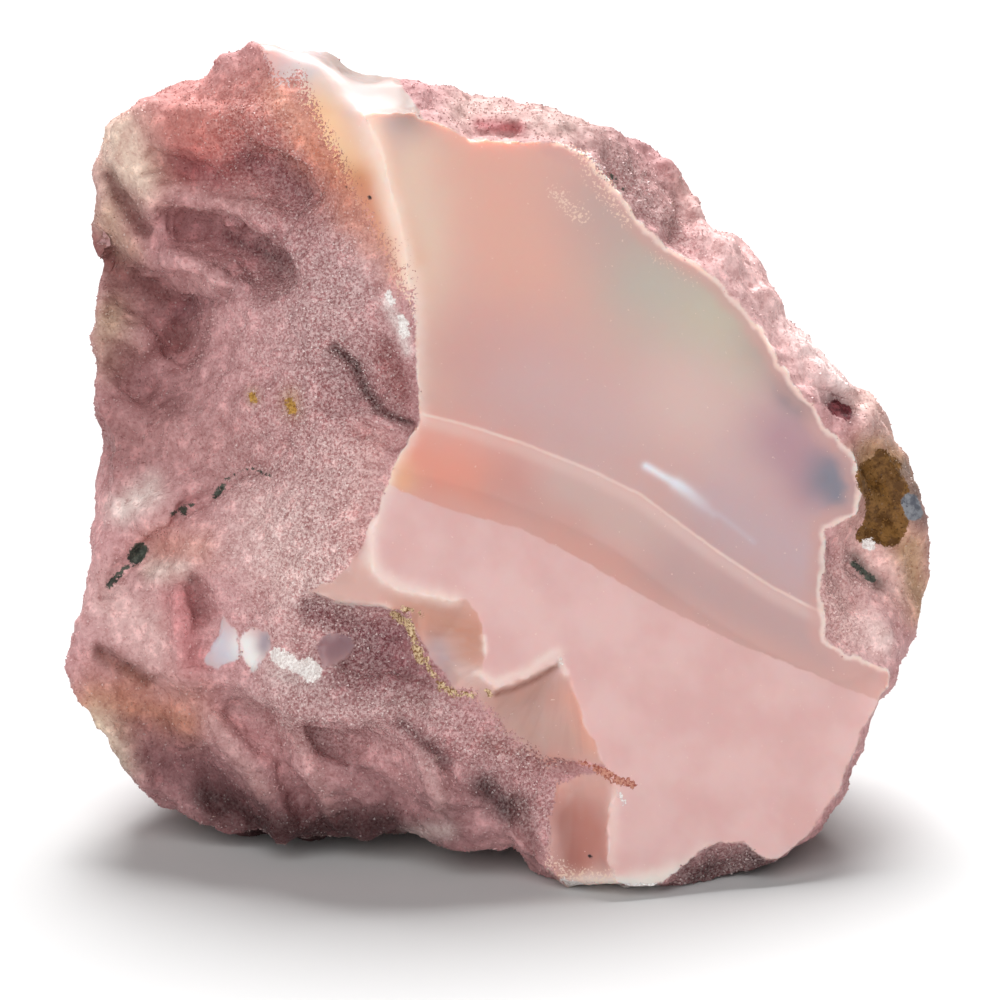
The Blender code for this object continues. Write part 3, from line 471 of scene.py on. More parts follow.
# Colours
paint = {
    # stains, and painted shade in the creases, hollows and underside, laid on the grainy rock: a run of
    # points, how wide, the shade, and how strongly it covers
    "rock": "c99798",
    "rockStainsAndPaintedShade": [
        ([(-12, 39), (-16, 38)], 3.0, "c57f76", 0.9),
        ([(-15, 36.8), (-10, 38)], 2.2, "ba665c", 0.85),
        ([(-9.3, 38), (-7.4, 35)], 1.2, "c87f6f", 0.8),
        ([(-10.8, 39.6), (-9.6, 37.8)], 1.0, "e0a08a", 0.85),
        # painted shade in a crease, and in the hollow of the arch below the orange
        ([(-17.2, 36.8), (-14.2, 35.4)], 1.0, "9a5054", 0.85),
        ([(-12.6, 36.5), (-10.8, 35.9), (-9.6, 34.7)], 1.1, "93585e", 0.8),
        ([(-16.2, 34.6), (-12.6, 34.2)], 0.8, "c69896", 0.8),
        # painted shade in the hollow above the ledge, darkest in the crease under it
        ([(-15.8, 32.8), (-13.4, 32.2), (-11.2, 31.2)], 1.7, "9f686b", 0.8),
        ([(-13.6, 32.6), (-12.4, 32.1), (-11.1, 31.5), (-11.1, 30.8)], 0.3, "662a30", 0.85),
        ([(-19.3, 37.6), (-18.6, 35.8)], 1.6, "e6d0bd", 0.9),
        ([(-19.6, 33.6), (-19.0, 31.6)], 1.1, "bfa188", 0.8),
        # painted shade in the crease at the left edge, in the deep trench, and in the crease off it
        ([(-19.6, 35.8), (-17.8, 33.0)], 0.5, "6d3b36", 0.85),
        ([(-20.2, 32.0), (-18.9, 30.8), (-17.4, 29.8), (-16.2, 29.4), (-16.1, 27.2)], 1.2, "7a4544", 0.9),
        ([(-15.9, 28.9), (-13.4, 30.2)], 0.6, "87555a", 0.7),
        ([(-15.6, 31.2), (-14.2, 30.4)], 1.1, "cb9c9b", 0.7),
        ([(-19.6, 28.6), (-19.2, 26.6)], 1.1, "b39a7f", 0.8),
        # painted shade over the lower left, and in its crease
        ([(-19.8, 23.6), (-18.4, 21.6)], 1.4, "915f60", 0.8),
        ([(-18.8, 26.6), (-17.0, 24.2)], 1.2, "875356", 0.8),
        ([(-8.8, 36.8), (-7.2, 33.8), (-5.4, 31.2)], 1.2, "cb8268", 0.95),
        ([(-5.7, 29.4), (-5.1, 28.2), (-4.6, 27.0)], 0.3, "f1e6e2", 0.85),
        ([(-9.5, 28.0), (-7.6, 30.8)], 2.4, "cdaaaa", 0.7),
        # painted shade beside the overhanging block, on its front face, and darkest in the crease under it
        ([(-8.6, 26.4), (-7.4, 24.8)], 0.9, "946365", 0.6),
        ([(-7.2, 26.0), (-4.9, 23.6)], 1.0, "8d5d60", 0.6),
        ([(-5.7, 26.8), (-5.0, 24.8)], 0.8, "8f4c4c", 0.95),
        ([(-8.3, 27.1), (-7.2, 26.3), (-6.8, 25.1), (-6.0, 24.0), (-4.5, 23.3)], 0.2, "4d1518", 0.95),
        ([(-10.5, 24.6), (-10.4, 23.9)], 0.55, "b18b5e", 0.7),
        ([(-12.4, 24.8), (-12.3, 24.5)], 0.35, "ab8d68", 0.6),
        ([(18.9, 20.9), (19.4, 19.6), (19.2, 18.1)], 1.6, "9a7547", 0.7),
        # painted shade over the rock above the crack, which lies back
        ([(-18.0, 23.0), (-14.0, 22.0)], 2.6, "a57572", 0.5),
        ([(-18.9, 19.0), (-17.4, 19.9)], 0.8, "dccac4", 0.9),
        ([(-16.8, 17.2), (-15.0, 17.0)], 1.1, "cf988b", 0.8),
        ([(-17.2, 16.0), (-16.0, 15.8)], 0.7, "e4d2c8", 0.8),
        ([(-19.4, 14.2), (-17.2, 12.6)], 1.8, "dab6b2", 0.8),
        ([(-16.0, 14.6), (-15.4, 11.6)], 1.0, "c77d7f", 0.8),
        # painted shade in the crease below the reddish lump
        ([(-15.4, 15.4), (-14.9, 13.7)], 0.4, "7b3e3f", 0.8),
        ([(-6.6, 22.0), (-7.4, 18.4), (-7.2, 16.6)], 1.3, "dca4a0", 0.8),
        ([(-10.8, 17.6), (-9.4, 15.2)], 2.4, "ecd0cb", 0.9),
        ([(-10.6, 18.2), (-8.2, 20.6)], 2.4, "dcbcb9", 0.7),
        ([(-11.0, 10.9), (-9.4, 10.5)], 0.9, "e2d0cc", 0.8),
        # painted shade in the cavity under the tongue and its creases
        ([(-9.4, 14.0), (-7.0, 13.0), (-5.2, 12.6)], 0.8, "7a3440", 0.9),
        ([(-7.0, 12.0), (-4.8, 11.2)], 1.1, "80424d", 0.8),
        ([(-8.6, 10.8), (-3.4, 10.4)], 1.3, "8f585d", 0.7),
        # painted shade in the crease at the low left
        ([(-19.9, 11.8), (-17.8, 10.5)], 0.5, "6c3932", 0.9),
        ([(-20.2, 9.4), (-16.0, 8.6)], 1.5, "b57655", 0.8),
        ([(-20.4, 8.2), (-19.0, 6.4)], 1.1, "dccdb4", 0.8),
        ([(-13.0, 9.6), (-8.0, 9.0), (-3.0, 9.0)], 0.8, "c9a3a2", 0.7),
        # painted shade over the underside, which faces away from the light, and in one of its grooves
        ([(-17.2, 6.8), (-12.4, 3.6), (-3.0, 2.6)], 2.0, "6d3f43", 0.82),
        ([(-9.2, 7.4), (-7.2, 6.0), (-5.6, 4.8)], 0.6, "7f5355", 0.6),
        # the underside's ribs, laid back near the rock's own shade
        ([(-14.4, 8.6), (-12.6, 6.0), (-11.8, 4.9)], 0.5, "c49a97", 0.7),
        ([(-10.6, 8.4), (-9.2, 5.8), (-8.2, 3.6)], 0.5, "bb8f8d", 0.7),
        ([(-3.9, 7.4), (-3.0, 4.2)], 0.45, "c29a98", 0.75),
        # painted shade in three more grooves and recesses
        ([(-4.8, 8.2), (-2.6, 6.4)], 0.4, "784b4e", 0.8),
        ([(-0.8, 5.2), (0.4, 4.0)], 0.9, "42191d", 0.95),
        ([(1.0, 4.4), (1.8, 1.8)], 0.4, "7b4c4c", 0.8),
        ([(-4.6, 2.8), (-2.6, 3.0)], 0.5, "cdb6b2", 0.8),
        # the darkest painted shade, low on the underside
        ([(-14.8, 4.6), (-12.6, 3.4), (-9.0, 2.9), (-5.6, 3.4)], 1.1, "3c1619", 0.95),
        ([(-0.6, 7.4), (3.4, 6.2)], 0.6, "a06a66", 0.8),
        ([(5.6, 5.8), (6.4, 5.4)], 0.4, "b45e51", 0.9),
        ([(10.0, 0.6), (13.0, 1.2)], 1.4, "552e31", 0.95),
        ([(-1.5, 39.0), (4.0, 38.4)], 1.6, "cdb0a9", 0.85),
        ([(-1.0, 38.3), (0.9, 38.1)], 0.45, "a55156", 0.9),
        ([(5.4, 36.9), (8.4, 33.4)], 1.3, "a98582", 0.75),
        ([(9.4, 35.4), (10.6, 33.6)], 1.2, "b7908a", 0.8),
        ([(11.6, 33.0), (13.6, 29.6), (16.0, 27.0)], 2.2, "efcac7", 0.85),
        # painted shade in the small hole at the right
        ([(16.5, 24.4), (17.6, 23.9)], 0.5, "5c141c", 1.0),
        ([(15.4, 28.4), (17.4, 25.4)], 1.1, "f3dfdc", 0.85),
        ([(18.2, 17.4), (20.0, 15.2)], 1.3, "ecc2bc", 0.9),
        ([(18.6, 24.6), (19.8, 22.8)], 1.0, "dcbdb3", 0.8),
        ([(18.6, 21.6), (19.9, 21.2), (20.2, 20.0)], 1.0, "b08a5a", 0.8),
        ([(20.2, 21.0), (20.9, 18.8)], 0.7, "776661", 0.8),
        ([(17.7, 16.6), (18.9, 15.3)], 0.4, "4c473d", 0.8),
        ([(20.6, 17.0), (21.2, 14.0)], 0.9, "b99469", 0.8),
        ([(18.7, 13.0), (19.1, 12.7)], 0.5, "ecdfd8", 0.9),
        ([(17.0, 15.0), (17.4, 13.2)], 1.4, "e2b9b4", 0.8),
        ([(18.2, 13.2), (18.9, 12.2)], 0.9, "f0cfcb", 0.85),
    ],
    # shades deep in the clear opal, with painted highlight streaks and painted shade on the chamfer's top,
    # laid in the same way
    "opal": "d8b0ab",
    "opalStainsAndPaintedLight": [
        ([(-1.0, 36.0), (1.0, 31.0)], 5.0, "e3b3a4", 0.9),
        ([(-4.4, 36.4), (-3.6, 30.0), (-3.8, 26.0)], 1.8, "e6cbba", 0.9),
        ([(-2.0, 27.0), (1.5, 26.0)], 3.2, "d4a59f", 0.8),
        ([(2.0, 25.0), (5.0, 23.2)], 3.2, "d4b5b4", 0.8),
        ([(5.6, 34.0), (7.4, 31.2)], 2.4, "c6aaa5", 0.9),
        ([(8.0, 30.0), (10.6, 28.4)], 3.2, "c3bcb1", 0.85),
        ([(10.6, 28.2), (12.0, 26.4)], 2.0, "c9c0ae", 0.75),
        ([(13.4, 27.0), (15.0, 24.6)], 1.5, "b3a39d", 0.7),
        ([(9.4, 24.6), (12.0, 22.6)], 2.8, "dcc0ba", 0.9),
        ([(14.2, 22.6), (15.8, 20.6)], 2.4, "b9959f", 0.85),
        ([(16.5, 20.6), (17.3, 19.8)], 1.3, "8d8b97", 1.0),
        # painted highlight streaks, glints on small steps of the face
        ([(7.3, 21.2), (9.4, 20.0), (10.7, 18.8)], 0.2, "f2f5fb", 0.9),
        ([(8.8, 20.3), (10.2, 19.3)], 0.3, "f2f5fb", 0.75),
        ([(10.9, 18.8), (12.7, 17.4)], 0.14, "e9eef5", 0.8),
        ([(14.6, 25.0), (15.5, 24.4)], 0.7, "7f8087", 1.0),
        ([(11.0, 19.0), (15.0, 16.4)], 2.2, "cbb3b8", 0.8),
        ([(-4.6, 21.8), (-1.4, 20.6)], 2.0, "e39d8b", 0.9),
        ([(-5.4, 21.0), (-5.0, 20.4)], 0.8, "f0bf96", 0.8),
        ([(0.6, 20.4), (3.4, 18.6)], 1.6, "cc9a92", 0.8),
        ([(3.4, 20.0), (7.4, 17.8)], 1.5, "cdb2ac", 0.8),
        ([(3.0, 17.6), (8.0, 15.2)], 1.0, "d6a59c", 0.8),
        ([(9.0, 16.0), (16.0, 12.0)], 1.9, "c3a4a2", 0.9),
        ([(-9.4, 40.6), (-6.6, 39.4)], 2.0, "d3c8ca", 0.95),
        # painted shade on the chamfer's top, against the strong back light that falls on it
        ([(-8.0, 41.6), (-5.8, 40.2), (-4.6, 39.2)], 1.2, "a5928b", 0.9),
        ([(-9.2, 39.0), (-7.4, 36.0)], 1.2, "f4cba2", 0.95),
        ([(-7.0, 35.4), (-5.2, 31.4)], 1.0, "cf8a68", 0.85),
        ([(-6.4, 38.2), (-5.2, 33.4), (-4.5, 30.0)], 0.7, "ecc8b2", 0.9),
        ([(-8.6, 14.9), (-6.0, 15.4), (-3.0, 14.3)], 1.6, "d2aca3", 0.95),
        ([(-4.2, 13.6), (-1.2, 13.0), (-1.6, 11.8)], 1.3, "c9937f", 0.95),
        ([(-3.2, 12.0), (-2.6, 11.0)], 0.7, "b9a0a2", 0.95),
        ([(-1.9, 10.8), (-0.8, 10.4)], 0.6, "d2b6af", 0.95),
        ([(0.0, 9.4), (2.4, 9.8)], 1.2, "c69a8f", 0.95),
        ([(1.4, 8.0), (4.0, 7.4)], 1.5, "c7a399", 0.9),
        ([(4.6, 7.2), (3.7, 9.6)], 0.6, "dda492", 0.8),
        ([(-0.2, 9.8), (0.8, 10.1), (1.9, 10.6), (2.9, 11.3)], 0.16, "8e5a4a", 0.85),
        ([(2.4, 5.2), (4.6, 3.2), (4.0, 0.8)], 1.5, "bf8276", 0.95),
        ([(3.4, 5.4), (5.0, 5.2)], 1.0, "deaea4", 0.8),
        ([(3.2, 3.6), (3.6, 1.6)], 0.6, "ab6f65", 0.7),
        ([(-14.0, 12.4), (-13.6, 11.8)], 1.2, "cbc7d0", 0.95),
        ([(-12.6, 12.2), (-12.4, 11.4)], 0.8, "f0ecea", 0.95),
        ([(-11.7, 12.6), (-11.8, 12.2)], 0.4, "ab9ba4", 0.95),
        ([(-8.8, 12.0), (-7.8, 12.3)], 1.4, "94747b", 0.95),
    ],
    # the mottled rock of the back and sides, with its paler, darker and browner clouds
    "backRock": "b88f8f",
    "backPale": "dcc2b6",
    "backDark": "96635f",
    "backBrown": "a9805f",
    # below this line the opal is opaque pink
    "pinkLine": [(-7.0, 20.9), (-5.8, 20.5), (-5.0, 20.0), (-3.0, 19.2), (-1.0, 18.6), (1.0, 18.1),
        (3.0, 17.1), (5.0, 16.0), (7.5, 14.5), (9.5, 13.5), (11.5, 12.5), (13.5, 11.7), (15.5, 10.9),
        (17.5, 10.0), (20.5, 9.0)],
    # pale edges of the opal: a run of points, how wide, and how strongly it covers
    "paleRuns": [
        ([(-6.7, 38.8), (-5.7, 35.6), (-4.9, 32.4), (-4.3, 30.0), (-4.2, 26.5), (-4.2, 23.6)], 0.5, 0.55),
        ([(-4.4, 23.0), (-5.4, 21.2), (-5.9, 19.8), (-6.4, 17.9), (-6.4, 16.5), (-5.9, 15.8), (-5.0, 15.2),
            (-3.9, 14.85), (-2.35, 14.6)], 0.42, 0.65),
        ([(-9.6, 14.7), (-7.8, 14.3), (-5.6, 14.1)], 0.2, 0.5),
        ([(-1.0, 10.8), (-0.2, 10.4), (0.8, 10.7), (1.9, 11.2), (2.9, 11.9)], 0.28, 0.65),
        ([(-0.8, 12.6), (-0.7, 12.0)], 0.14, 0.7),
        ([(3.0, 11.6), (3.3, 10.7)], 0.14, 0.7),
        ([(5.7, 5.0), (5.7, 3.0), (5.7, 1.4)], 0.32, 0.35),
        ([(3.8, 0.3), (5.0, 0.3), (7.6, 0.5), (8.6, 0.9)], 0.55, 0.9),
        ([(8.6, 0.9), (10.2, 2.2)], 0.3, 0.4),
    ],
    # the pale rind between the opal and the rock on the right
    "rindLine": [(2.8, 37.4), (4.5, 36.7), (5.6, 35.2), (6.9, 33.5), (8.4, 32.1), (10.4, 31.0), (12.0, 29.4),
        (13.4, 27.6), (14.6, 25.4), (15.6, 24.4), (16.2, 23.2), (17.5, 22.0), (18.1, 20.3), (17.8, 18.8),
        (16.3, 18.1), (16.1, 14.6), (16.3, 12.5), (17.7, 11.7), (19.4, 11.0)],
    # crusted patches and spots, and the painted shade in the small hole at the right: each one's darker and
    # paler shade, how ragged it is, and its runs with their width
    "crustsAndHoleShade": {
        "limonite": ("80552c", "e3c9a2", 0.7, [([(-5.3, 13.8), (-4.9, 13.5)], 0.2),
            ([(-4.8, 14.1), (-4.5, 14.0)], 0.16), ([(-4.6, 13.4), (-4.3, 12.6)], 0.18),
            ([(-4.2, 12.1), (-3.9, 11.5)], 0.22), ([(-3.9, 11.8), (-3.5, 11.0), (-3.0, 10.4)], 0.14),
            ([(-2.9, 10.2), (-2.4, 9.9)], 0.2), ([(-2.2, 9.8), (-1.4, 9.75)], 0.14),
            ([(-0.6, 9.95), (-0.5, 9.8)], 0.14), ([(-4.0, 13.9), (-3.9, 13.7)], 0.08)]),
        "ochre": ("98702f", "c8994d", 0.7, [([(-10.5, 24.4), (-10.4, 24.0)], 0.24),
            ([(-12.4, 24.7), (-12.3, 24.5)], 0.16)]),
        "greenBlack": ("30332e", "565a50", 0.5, [([(-18.0, 17.0), (-18.2, 16.7)], 0.42),
            ([(-18.6, 16.2), (-19.6, 15.2)], 0.13), ([(-15.9, 19.0), (-15.8, 18.9)], 0.2),
            ([(-16.4, 18.8), (-15.3, 19.3)], 0.08), ([(-14.2, 19.7), (-13.8, 20.2)], 0.16),
            ([(-13.7, 20.5), (-13.0, 20.9), (-12.4, 21.1), (-11.5, 20.7)], 0.06),
            ([(5.6, 35.8), (5.8, 35.4)], 0.09), ([(6.1, 35.1), (6.3, 34.8)], 0.05),
            ([(17.7, 16.3), (18.6, 15.5)], 0.18)]),
        "blackDots": ("241a1a", "3a2c2a", 0.1, [([(-6.55, 34.65), (-6.5, 34.6)], 0.12),
            ([(4.5, 1.7), (4.55, 1.65)], 0.12), ([(-12.1, 41.1), (-12.1, 41.0)], 0.05),
            ([(-12.1, 40.3), (-12.1, 40.2)], 0.05), ([(-10.0, 38.4), (-10.0, 38.3)], 0.05),
            ([(-7.7, 36.3), (-7.7, 36.2)], 0.05), ([(-7.7, 35.2), (-7.7, 35.1)], 0.06)]),
        "brownPocket": ("583710", "80592a", 0.5, [([(18.9, 20.6), (19.4, 19.8), (19.3, 18.4)], 1.1),
            ([(18.2, 17.8), (19.6, 17.6)], 0.45), ([(19.0, 21.8), (19.8, 21.2)], 0.3)]),
        # painted shade in the small hole at the right
        "paintedHoleShade": ("45161c", "743238", 0.4, [([(16.75, 24.15), (17.3, 23.85)], 0.36)]),
        "blueGrey": ("5b5d66", "84868c", 0.25, [([(20.5, 19.4), (20.7, 18.9)], 0.45)]),
        "rust": ("9c4e40", "cf9480", 0.7, [([(4.0, 6.4), (5.0, 6.1)], 0.12),
            ([(4.9, 6.0), (5.6, 5.7)], 0.22), ([(5.8, 5.5), (6.6, 5.3)], 0.22)]),
        "whiteCrust": ("d9ccc8", "faf5f2", 0.6, [([(-11.1, 11.7), (-10.7, 11.5)], 0.42),
            ([(-10.6, 11.4), (-9.8, 11.0)], 0.3), ([(-9.6, 11.1), (-9.4, 10.9)], 0.5),
            ([(5.9, 4.9), (6.2, 4.3)], 0.1), ([(-5.6, 29.8), (-5.4, 29.4)], 0.2),
            ([(-4.9, 28.6), (-4.75, 27.8)], 0.24),
            ([(3.1, 0.5), (4.2, 0.15), (5.6, 0.1), (7.8, 0.15)], 0.16), ([(18.4, 17.3), (18.5, 17.3)], 0.28),
            ([(3.0, 11.7), (3.1, 11.3)], 0.05), ([(-0.72, 12.4), (-0.66, 12.0)], 0.04)]),
    },
    # where grains are strewn over the edge between opal and rock, and where dust lies on the opal
    "speckledRuns": [
        ([(-10.6, 40.4), (-9.6, 38.6), (-8.2, 35.9), (-6.2, 32.8), (-5.0, 30.6)], 1.8, 1.0),
        ([(-1.4, 9.3), (0.8, 7.4), (2.4, 6.3)], 0.9, 0.8),
        ([(1.6, 5.6), (1.6, 2.4), (3.2, 0.6), (5.0, 0.3)], 0.7, 0.8),
        ([(3.6, 37.6), (5.4, 35.6)], 0.6, 0.6),
    ],
    "dustRuns": [
        ([(2.8, 34.8), (4.2, 33.6)], 0.5, 1.0),
        ([(4.0, 37.0), (5.2, 35.0), (6.4, 33.6)], 0.6, 0.9),
        ([(7.6, 31.8), (9.8, 30.4)], 0.6, 0.4),
        ([(2.6, 1.2), (3.6, 0.6), (5.4, 0.6)], 0.6, 1.0),
    ],
    # how sugary the rock is, from 0 to 1: everywhere, and along some runs
    "sugary": 0.16,
    "sugarRuns": [
        ([(-8.0, 34.0), (-8.5, 28.0), (-9.0, 22.0), (-9.0, 16.0), (-8.0, 12.0)], 4.2, 1.0),
        ([(-10.0, 9.6), (-4.0, 9.0), (1.0, 6.4), (2.2, 4.0)], 1.8, 0.9),
        ([(-12.0, 38.0), (-9.0, 36.0)], 2.5, 0.7),
        ([(5.4, 36.0), (9.0, 32.6)], 1.0, 0.7),
        ([(16.9, 16.0), (17.2, 13.0)], 1.2, 0.7),
        ([(9.0, 1.0), (13.0, 1.4)], 1.5, 0.8),
        ([(-9.4, 38.4), (-8.0, 35.4), (-6.4, 32.4), (-5.2, 30.4)], 1.3, 0.3),
    ],
    # how far the stains of the rock, of the opal and of the sugar stray
    "rockStray": 0.5,
    "opalStray": 0.3,
    "sugarStray": 0.6,
    # sizes of that wander, of the pale and dark clouds and of the brown ones
    "wander": 2.0,
    "clouds": 7.0,
    "brownClouds": 5.0,
    # how far a place may lie from the face and still be painted as the front
    "frontReach": 3.0,
    # the height of a flute at which its painted light and shade show in full
    "fluteHeight": 0.05,
}


def laid(ground, stainsAndPaintedLight, spots, wander):
    # the finer a stain or painted shade, the less it strays
    shade = np.tile(tone(ground), (len(spots), 1))
    for line, width, name, cover in stainsAndPaintedLight:
        gap, _ = gapTo(spots + min(1.0, 0.6 * width) * wander, line)
        share = (cover * np.exp(-((gap / width) ** 2)))[:, None]
        shade += (tone(name) - shade) * share
    return shade


def strewn(spots, runs):
    # how strongly runs cover each spot, from 0 to 1
    covers = [cover * np.exp(-((gapTo(spots, line)[0] / width) ** 2)) for line, width, cover in runs]
    return np.max(covers, axis=0)


def backTone(seen):
    # the back and sides: mottled rock, with paler, darker and browner clouds
    names = ("backRock", "backPale", "backDark", "backBrown")
    ground, pale, dark, brown = (tone(paint[name]) for name in names)
    clouds = lumpy(seen, paint["clouds"], 3, 12.0)[:, None]
    shade = ground + (pale - ground) * smooth(clouds * 1.6)
    shade += (dark - shade) * smooth(-clouds * 1.4)
    browner = lumpy(seen, paint["brownClouds"], 2, 20.0)[:, None]
    return shade + (brown - shade) * smooth((browner - 0.45) * 3.0)


def paintStone(mesh):
    points, normals = meshPoints(mesh), meshPoints(mesh, "vector")
    seen = toSeen(points)
    spots = seen[:, :2]
    turned = facing(normals)
    front = smooth((turned + 0.25) / 0.35)
    wander = strays(seen, paint["wander"])
    rockTone = laid(paint["rock"], paint["rockStainsAndPaintedShade"], spots, paint["rockStray"] * wander)
    plain = backTone(seen)
    rockTone = plain + (rockTone - plain) * front[:, None]
    opalTone = laid(paint["opal"], paint["opalStainsAndPaintedLight"], spots, paint["opalStray"] * wander)
    faceGap, patchGap = patchGaps(seen)
    outside = -5.0
    inFront = (turned > 0.0) | (np.abs(seen[:, 2] - faceDeep(spots)) < paint["frontReach"])
    faceGap = np.where(inFront, faceGap, outside)
    opalGap = np.maximum(faceGap, np.where(turned > -0.2, patchGap, outside))
    opalGap = np.maximum(opalGap, np.where(inFront, outside, scarGap(seen)))
    keep(mesh, "rockTone", rockTone)
    keep(mesh, "opalTone", opalTone)
    keep(mesh, "faceGap", faceGap)
    keep(mesh, "opalGap", opalGap)
    keep(mesh, "pinkGap", -gapAcross(spots, paint["pinkLine"]))
    keep(mesh, "crestGap", gapAcross(spots, face["crest"]))
    keep(mesh, "rindGap", gapTo(strayed(seen), paint["rindLine"])[0])
    keep(mesh, "pale", strewn(strayed(seen), paint["paleRuns"]))
    keep(mesh, "dust", strewn(spots, paint["dustRuns"]))
    speckled = strewn(spots, paint["speckledRuns"])
    keep(mesh, "speckled", speckled)
    for name, (_, _, _, runs) in paint["crustsAndHoleShade"].items():
        inner = np.max([width - gapTo(spots, run)[0] for run, width in runs], axis=0)
        keep(mesh, name, np.where(inFront, inner, outside))
    sugary = np.full(len(seen), paint["sugary"])
    for line, width, amount in paint["sugarRuns"]:
        gap, _ = gapTo(spots + paint["sugarStray"] * wander, line)
        sugary += (amount - sugary) * np.exp(-((gap / width) ** 2))
    keep(mesh, "sugary", sugary)
    keep(mesh, "flute", fluting(seen, faceGap) / paint["fluteHeight"])
    edge = smooth((0.6 * speckled - opalGap - 0.25 * lumpy(seen, 0.5, 2, 15.0)) / (0.3 + 1.2 * speckled))
    ahead = smooth((turned + 0.15) / 0.3)
    keep(mesh, "sugar", edge * (0.15 + 0.85 * sugary) * ahead)
    behind = (1.0 - ahead) * smooth((points[:, 2] / mm - 0.3) / 0.4)
    keep(mesh, "sugarBack", smooth(-opalGap / 0.5 - 0.6) * behind)


# Materials
class Field:
    # a node's socket that can be added, taken away, multiplied and stripped of its sign
    def __init__(self, sheet, socket):
        self.sheet = sheet
        self.socket = socket

    def worked(self, operation, first, second):
        return self.sheet.node("ShaderNodeMath", {"operation": operation}, {0: first, 1: second})

    def __add__(self, other):
        return self.worked("ADD", self, other)

    def __radd__(self, other):
        return self.worked("ADD", other, self)

    def __sub__(self, other):
        return self.worked("SUBTRACT", self, other)

    def __rsub__(self, other):
        return self.worked("SUBTRACT", other, self)

    def __mul__(self, other):
        return self.worked("MULTIPLY", self, other)

    def __rmul__(self, other):
        return self.worked("MULTIPLY", other, self)

    def __abs__(self):
        return self.worked("ABSOLUTE", self, 0.0)


class Sheet:
    # the nodes of one material
    def __init__(self, name):
        self.material = bpy.data.materials.new(name)
        self.material.use_nodes = True
        self.tree = self.material.node_tree
        self.tree.nodes.clear()

    def node(self, kind, settings=None, sockets=None, out=None):
        made = self.tree.nodes.new(kind)
        for key, value in (settings or {}).items():
            setattr(made, key, value)
        for key, value in (sockets or {}).items():
            if isinstance(value, Field):
                self.tree.links.new(value.socket, made.inputs[key])
            else:
                made.inputs[key].default_value = value
        found = made.outputs[out] if out is not None else next(s for s in made.outputs if s.enabled)
        return Field(self, found)

    def step(self, value, start, end):
        sockets = {"Value": value, "From Min": start, "From Max": end}
        return self.node("ShaderNodeMapRange", {"interpolation_type": "SMOOTHSTEP"}, sockets)

    def mix(self, factor, first, second, blend="MIX"):
        first, second = (v if isinstance(v, Field) else (*tone(v), 1.0) for v in (first, second))
        settings = {"data_type": "RGBA", "blend_type": blend}
        return self.node("ShaderNodeMix", settings, {0: factor, 6: first, 7: second}, out=2)

    def field(self, name, out="Fac"):
        return self.node("ShaderNodeAttribute", {"attribute_name": name}, out=out)

    def noise(self, place, scale, detail=2.0, roughness=0.5):
        sockets = {"Vector": place, "Scale": scale, "Detail": detail, "Roughness": roughness}
        return self.node("ShaderNodeTexNoise", {}, sockets, out=0)

    def millimetres(self):
        place = self.node("ShaderNodeTexCoord", out="Object")
        return self.node("ShaderNodeVectorMath", {"operation": "SCALE"}, {"Vector": place, "Scale": 1000.0})

    def finish(self, shader):
        end = self.tree.nodes.new("ShaderNodeOutputMaterial")
        self.tree.links.new(shader.socket, end.inputs["Surface"])
        return self.material


opalFinish = {
    "pink": "e6c3c0",
    "pinkDeep": "e0b7b4",
    "edgePink": "dfa99c",
    "crest": "e4cdc6",
    "rim": "f4e4dc",
    "rind": "eed9d1",
    "rindPink": "d2a9a3",
    # painted shade for the chips' flute grooves and painted light for their ridges
    "fluteGrooveShade": "b58d84",
    "fluteRidgeLight": "d6b2a8",
    "mote": "f3ddd2",
    "dust": "f3dccb",
    "roughness": 0.42,
    "scatter": 0.0011,
    "scatterTint": (1.0, 0.5, 0.38),
    "coat": 0.06,
    "coatRoughness": 0.25,
    "shine": 0.3,
}

rockFinish = {
    "speck": "f3e3df",
    # what the rock's own shade is multiplied by in mottles, in clumps and in dark grains
    "mottle": "c89e9c",
    "clump": "bd8f8d",
    "darkGrain": "b98f90",
    "grainScale": 6.5,
    "roughness": 0.62,
    "shine": 0.3,
    "bump": 0.4,
}


